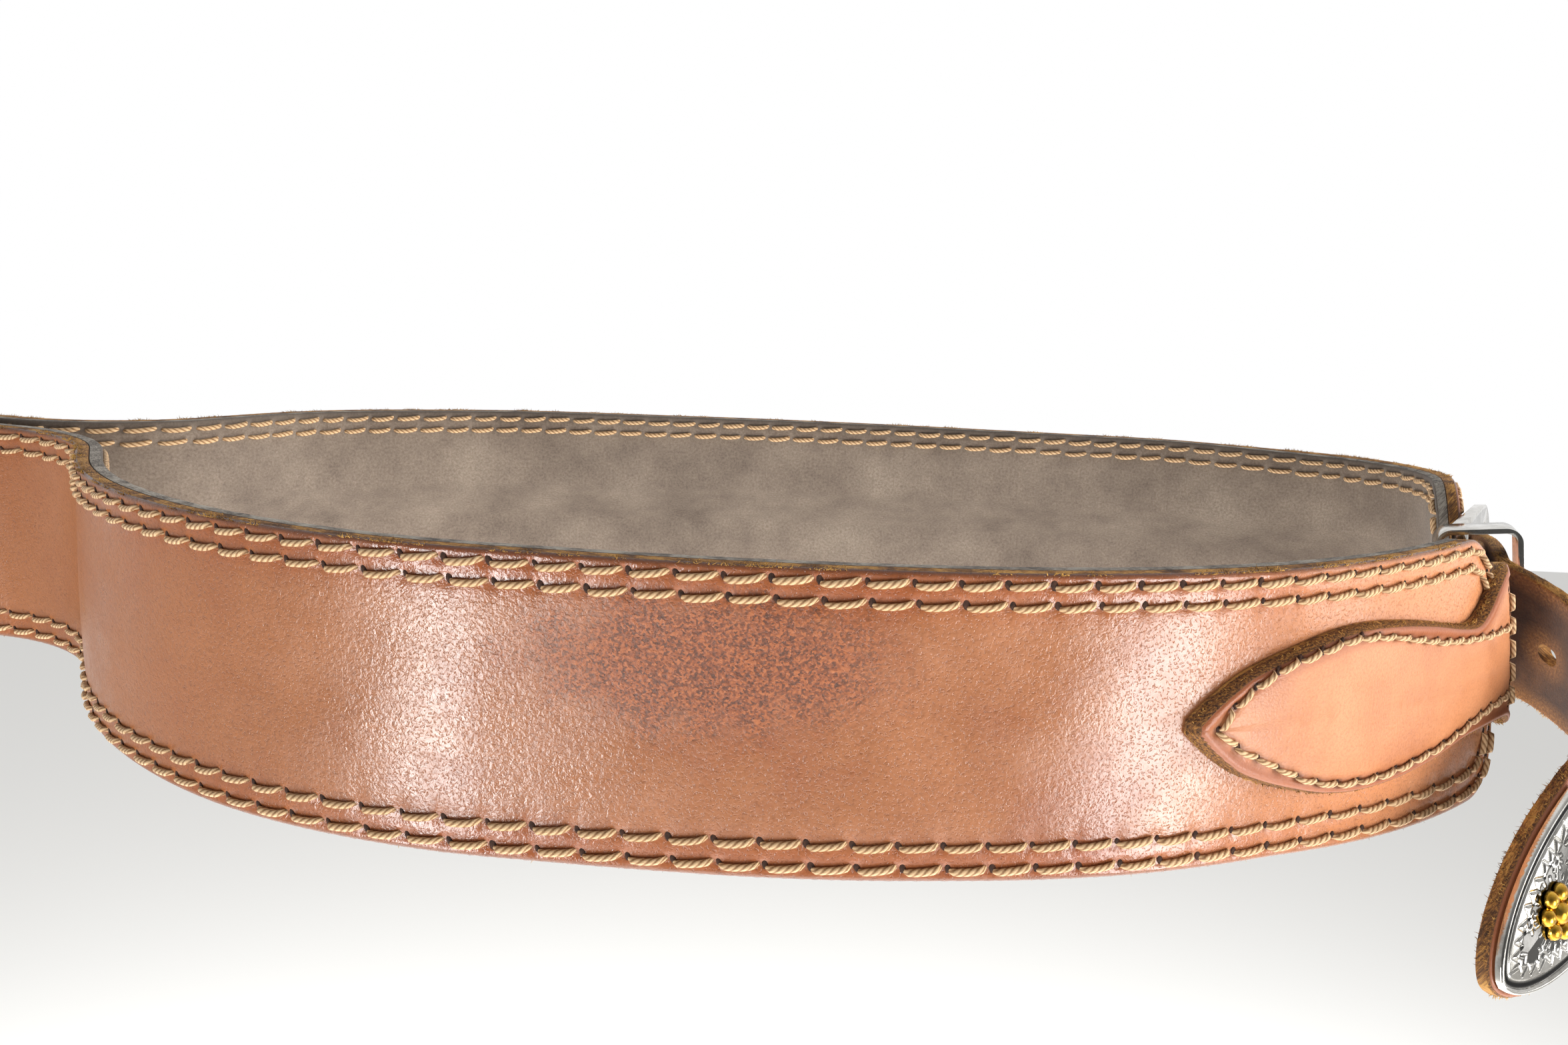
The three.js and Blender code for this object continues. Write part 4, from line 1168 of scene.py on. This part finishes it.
def make_tongue(seam):
    """The front leaf, its strap and its point, with a pressed border round the plate. Gives its outline."""
    between = np.arange(TONGUE_LEAF_TIP + 3.5, TONGUE_STOP - 7.5, TONGUE_STEP)
    stops = np.concatenate([TONGUE_LEAF_TIP + NEAR_TIP, between, TONGUE_STOP - NEAR_POINT])
    tongue = Leather("tongue_billet_leather", stops, tongue_top, LEAF_EDGE_STEPS, 12)
    from_tip = from_tongue_leaf(tongue.flat)
    on_tip = tongue.flat[:, 0] > TONGUE_STOP - TIP_LONG
    border = BORDER_DEEP * np.exp(-(((tongue.edge - BORDER_PLACE) / BORDER_WIDE) ** 2)) * on_tip
    rounder = rounding(tongue.edge, TIP_ROUND) - rounding(tongue.edge, STRAP_ROUND)
    face = billet_height(from_tip, tongue.edge) - STRAP_THICK / 2 - border - rounder * on_tip
    tongue.mould(face - PULL * pulled(tongue.flat, seam, 0.7), -STRAP_THICK / 2 + rounding(tongue.edge, 0.4))
    for place in HOLE_PLACES:
        tongue.punch(place, HOLE_LONG, HOLE_TALL)
    dress(tongue.bend(TONGUE, seam, from_tongue_leaf), "billet_leather", "billet", "edge", "flesh",
          stands_for=["tongue_billet"])
    return tongue.outline


# The metal pieces
WELD = 0.01
HARD_EDGE = math.radians(40)


def metal_copy(node, name, wide, metal):
    """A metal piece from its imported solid: welded, its hard edges bevelled."""
    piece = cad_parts[node].copy()
    piece.data = piece.data.copy()
    piece.name = name
    for key in list(piece.keys()):
        del piece[key]
    piece.parent = None
    bpy.context.scene.collection.objects.link(piece)
    pick(piece)
    bpy.ops.object.mode_set(mode="EDIT")
    bpy.ops.mesh.select_all(action="SELECT")
    bpy.ops.mesh.remove_doubles(threshold=WELD * MM)
    bpy.ops.mesh.tris_convert_to_quads()
    bpy.ops.object.mode_set(mode="OBJECT")
    bevel = piece.modifiers.new("bevel", "BEVEL")
    bevel.width = wide * MM
    bevel.segments = 3
    bevel.limit_method = "ANGLE"
    bevel.angle_limit = HARD_EDGE
    bpy.ops.object.modifier_apply(modifier="bevel")
    bpy.ops.object.shade_smooth_by_angle(angle=HARD_EDGE)
    dress(piece, metal + "_metal", metal, stands_for=[node])


# The tip plate's own measures: lengths from the strap's point, widths in from its edge, and heights
PLATE_LONG = 33.5
PLATE_MARGIN = 0.8
PLATE_BASE = STRAP_THICK / 2 + 0.1
PLATE_THICK = 0.72
RIM_WIDE, BEAD_TALL = 0.9, 0.42
GROOVE_WIDE = 1.1
STEP_TALL, DOME_TALL, DOME_WIDE = 0.12, 0.7, 4.5
GROUND_FROM, GROUND_DEEP, SCROLL_TALL = 4.3, 0.1, 0.16
PLATE_STEP, TOOTH = 0.17, 1.15
SCROLL_WIDE, FEATHER_WIDE, RAY_WIDE = 0.5, 0.36, 0.4
FEATHER_OUT, FEATHER_BACK = 0.8625, 0.4025
TOOTH_LINES = (2.5, 4.0)
FLOWER_PLACE = (17.5, 0.0)
RAY_FROM, RAY_LONG, RAY_SHORT, RAYS = 5.0, 6.1, 5.6, 20
Scroll = namedtuple("Scroll", "x z size turns start")
SCROLLS = [Scroll(25.8, 3.6, 3.0, 1.2, 0.4), Scroll(10.6, 3.2, 2.5, 1.1, 2.6),
           Scroll(21.6, 6.3, 1.7, 1.0, 2.0)]
Line = namedtuple("Line", "path wide raised")


def plate_half(x, inset=0.0):
    """Half the plate's width at a distance from the strap's point, or of a line inside its edge."""
    margin = PLATE_MARGIN + inset
    return max(0.3, tip_half(x - 0.6 * margin) - margin)


def plate_line(inset):
    """A line round the plate at a distance inside its edge, as places one tooth apart."""
    near, far = PLATE_MARGIN + inset, PLATE_LONG - inset
    stops = np.concatenate([near + np.array([0, 0.15, 0.4, 0.8, 1.3]), np.arange(near + 2, far, 0.5), [far]])
    upper = [(x, plate_half(x, inset)) for x in stops[::-1]]
    lower = [(x, -z) for x, z in upper[::-1]]
    return resample(upper + lower + upper[:1], TOOTH)


def spiral(scroll, side):
    """A running scroll, above or below the middle: a spiral that opens as it goes."""
    path = []
    for t in np.linspace(0, 1, 70):
        angle = side * scroll.start + side * scroll.turns * 2 * math.pi * t
        radius = scroll.size * (0.12 + 0.88 * t**1.3)
        path.append((scroll.x + radius * math.cos(angle), side * scroll.z + radius * math.sin(angle)))
    return path


def engraving():
    """A traditional manner: a wriggle-cut border, raised scrolls with feathers, and rays round a flower."""
    outer, inner = [plate_line(inset) for inset in TOOTH_LINES]
    teeth = min(len(outer), len(inner))
    outer, inner = [line[np.linspace(0, len(line) - 1, teeth).round().astype(int)]
                    for line in (outer, inner)]
    lines = [Line([outer[i] if i % 2 else inner[i] for i in range(teeth)], SCROLL_WIDE, False)]
    for side in (1, -1):
        for scroll in SCROLLS:
            path = spiral(scroll, side)
            lines.append(Line(path, SCROLL_WIDE, True))
            for k in range(24, 66, 6):
                start = np.array(path[k])
                way = unit(np.array(path[k + 2]) - start)
                away = unit(start - (scroll.x, side * scroll.z))
                feather = [start, start + FEATHER_OUT * away - FEATHER_BACK * way]
                lines.append(Line(feather, FEATHER_WIDE, True))
    for i in range(RAYS):
        angle = 2 * math.pi * i / RAYS
        way = np.array([math.cos(angle), math.sin(angle)])
        ends = (RAY_FROM, RAY_LONG if i % 2 else RAY_SHORT)
        lines.append(Line([FLOWER_PLACE + way * end for end in ends], RAY_WIDE, True))
    for x in (5.6, 7.0):
        lines.append(Line([(x, -0.9), (x + 0.8, 0), (x, 0.9)], RAY_WIDE, True))
    return lines


def make_tip_plate():
    """The tip plate: a fine sheet raised to a bead at its rim and a low dome inside, engraved, and laid
    on the strap's point, with the engraving's ground left black."""
    stops = np.concatenate([PLATE_MARGIN + np.array([0, 0.06, 0.15, 0.28, 0.45, 0.65]),
                            np.arange(PLATE_MARGIN + 0.8, PLATE_LONG - 0.5, PLATE_STEP),
                            PLATE_LONG - np.array([0.45, 0.3, 0.18, 0.08, 0.0])])
    steps = (0, 0.05, 0.12, 0.22, 0.34, 0.48, 0.62, 0.76, 0.9)
    plate = Leather("tip_plate_engraved", stops, plate_half, steps, 120, fineness=0.03)
    edge, flat = plate.edge, plate.flat
    bead = BEAD_TALL * np.sqrt(np.clip(1 - ((edge - RIM_WIDE / 2) / (RIM_WIDE / 2)) ** 2, 0, 1))
    field = np.clip(edge - RIM_WIDE - GROOVE_WIDE, 0, None)
    dome = STEP_TALL * np.clip(field / 0.3, 0, 1) + DOME_TALL * (1 - np.exp(-field / DOME_WIDE))
    cut, raised = np.zeros(len(flat)), np.zeros(len(flat))
    for line in engraving():
        away = nearest(resample(line.path, 0.08), flat, 1.0)
        height = np.clip(1 - away / (line.wide / 2 + 0.08), 0, 1)
        if line.raised:
            raised = np.maximum(raised, height)
        else:
            cut = np.maximum(cut, height * line.wide * 0.5)
    ground = np.clip((edge - GROUND_FROM) / 0.25, 0, 1)
    relief = ground * (SCROLL_TALL * np.sqrt(raised) - GROUND_DEEP) - cut
    plate.mould(PLATE_BASE + PLATE_THICK + np.where(edge < RIM_WIDE, bead, 0) + dome + relief, PLATE_BASE)
    groove = np.exp(-(((edge - RIM_WIDE - GROOVE_WIDE / 2) / (GROOVE_WIDE / 2)) ** 4))
    oxide = np.maximum(groove, 0.8 * ground * (1 - np.clip(raised * 2.2, 0, 1)))
    write_attribute(plate.piece.data, "oxide", np.where(plate.grain, oxide, 0))
    write_points(plate.piece.data, TONGUE.lay(np.array([TONGUE_STOP, 0, 0]) + flat * (-1, 1, 1)))
    face_outwards(plate.piece, SMOOTH_METAL)
    dress(plate.piece, "silver_metal", "silver", stands_for=["tip_plate"])


# The studio: each lamp's name, place, width, height, watts and aim, and whether wax and metal mirror it
LAMPS = [
    ("softbox_left", (-0.63, -0.95, -0.33), 0.26, 0.55, 8.5, (0, -0.05, 0), True),
    ("softbox_right", (0.82, -0.74, -0.31), 0.36, 0.55, 8.5, (0, -0.05, 0), True),
    ("softbox_side", (1.05, -0.12, 0.1), 0.5, 0.5, 15, (0.1, 0, 0), False),
    ("softbox_tip", (0.9, -0.2, -0.09), 0.16, 0.2, 0.45, (0.117, -0.071, -0.025), True),
    ("floor_wash", (0, -0.1, -0.25), 1.6, 1.6, 26, (0, -0.08, -0.8), False),
]
FLOOR_WIDE, FLOOR_LOW = 8, -0.8

# The photograph's camera: focal length and width in pixels, its place, and how far it's tipped and aslant
PHOTO_FOCAL, PHOTO_WIDE = 2000, 2352
EYE_PLACE, EYE_TIPPED, EYE_ASLANT = (0, -0.2608, 0.0619), 10.82, 2.62


def soft_box(name, place, wide, tall, watts, aim, shines):
    """A softbox at a place, turned towards its aim. Wax and metal mirror only one that shines."""
    lamp = bpy.data.lights.new(name, "AREA")
    lamp.shape = "RECTANGLE"
    lamp.size, lamp.size_y = wide, tall
    lamp.energy = watts
    light = bpy.data.objects.new(name, lamp)
    light.visible_camera = False
    light.visible_glossy = shines
    bpy.context.scene.collection.objects.link(light)
    back = unit(np.array(place) - np.array(aim))
    side = unit(np.cross(UP, back))
    axes = Matrix(np.stack([side, np.cross(back, side), back], 1).tolist())
    light.matrix_world = Matrix.Translation(place) @ axes.to_4x4()


def set_camera():
    """The camera at the photograph's place: just over the belt's back, tipped a little down and aslant."""
    camera = bpy.data.cameras.new("camera")
    camera.sensor_width = 36
    camera.lens = PHOTO_FOCAL / PHOTO_WIDE * camera.sensor_width
    camera.clip_start = 0.01
    eye = bpy.data.objects.new("camera", camera)
    bpy.context.scene.collection.objects.link(eye)
    tipped = Matrix.Rotation(math.radians(90 - EYE_TIPPED), 4, "X")
    aslant = Matrix.Rotation(math.radians(EYE_ASLANT), 4, "Z")
    eye.matrix_world = Matrix.Translation(EYE_PLACE) @ tipped @ aslant
    bpy.context.scene.camera = eye


def set_studio():
    """A pale floor, a sky that is bright behind the belt, and five softboxes: two that shine in the wax, one
    at the side, a small one for the tip plate, and one that lights the floor."""
    bpy.context.scene.view_settings.view_transform = "Standard"
    world = bpy.data.worlds.new("studio")
    world.use_nodes = True
    tree = world.node_tree
    place = add(tree, "TexCoord", give="Generated")
    back = add(tree, "SeparateXYZ", [place], give="Y")
    light = add(tree, "MapRange", [back, -0.9, 0.4, 0.1, 1])
    tree.links.new(light, tree.nodes["Background"].inputs["Strength"])
    tree.nodes["Background"].inputs["Color"].default_value = (1, 1, 1, 1)
    bpy.context.scene.world = world
    for lamp in LAMPS:
        soft_box(*lamp)
    deselect()
    bpy.ops.mesh.primitive_plane_add(size=FLOOR_WIDE, location=(0, 0, FLOOR_LOW))
    floor = bpy.context.object
    floor.name = "floor"
    floor.data.materials.append(MATERIALS["paper"])


def make_belt():
    band_rows = band_seam()
    back_leaf = leaf_seam(BUCKLE_LEAF_TIP, -1)
    front_leaf = leaf_seam(TONGUE_LEAF_TIP, 1)
    make_band(band_rows)
    lining_face = make_lining(band_rows)
    back_outline = make_buckle_billet(back_leaf)
    front_outline = make_tongue(front_leaf)
    band = Ground(band_rows, BELT, band_face, "band_leather")
    inside = Ground(band_rows, BELT, lambda x, z: lining_face, "lining_leather")
    back_face = leaf_face(BUCKLE_LEAF_TIP, back_outline, 0)
    back = Ground(back_leaf, BILLET, back_face, "billet_leather")
    front_face = leaf_face(TONGUE_LEAF_TIP, front_outline, -STRAP_THICK / 2)
    front = Ground(front_leaf, TONGUE, front_face, "billet_leather")

    pattern = twisted_stitch()
    for name, ground, thread, seed, facing in (
            ("band_stitches", band, 0.96, 1, 1), ("lining_stitches", inside, 1.0, 2, -1),
            ("back_leaf_stitches", back, 0.82, 3, 1), ("front_leaf_stitches", front, 0.82, 4, 1)):
        dress(sew(name, ground, pattern, thread, seed, facing), ground.slot, "thread")
    for name, ground, wide, tall, seed in (
            ("band_awl_slits", band, 0.95, 1.8, 5), ("back_leaf_awl_slits", back, 0.75, 1.5, 6),
            ("front_leaf_awl_slits", front, 0.75, 1.5, 7)):
        dress(awl_slits(name, ground, wide, tall, seed), ground.slot, "hole")
    back_roots = leaf_roots(back_outline, BACK_LEAF_END, BUCKLE_LEAF_TIP + 1, 0, 9)
    front_roots = leaf_roots(front_outline, TONGUE_LEAF_TIP - 1, FRONT_LEAF_END, -STRAP_THICK / 2, 10)
    for name, ground, roots, seed in (
            ("band_edge_fibres", band, band_roots(8), 8), ("back_leaf_fibres", back, back_roots, 9),
            ("front_leaf_fibres", front, front_roots, 10),
            ("strap_edge_fibres", front, strap_roots(11), 11)):
        dress(fibres(name, roots, ground.route, seed), ground.slot, "fibre")
    for node, name, bevel in (
            ("strap_keeper", "keeper_loop", 0.3), ("buckle_frame", "buckle_frame_cast", 0.5),
            ("buckle_prong", "buckle_prong_wire", 0.2)):
        metal_copy(node, name, bevel, "silver")
    make_tip_plate()
    metal_copy("tip_ornament", "tip_flower", 0.1, "gold")


make_belt()
set_camera()
set_studio()
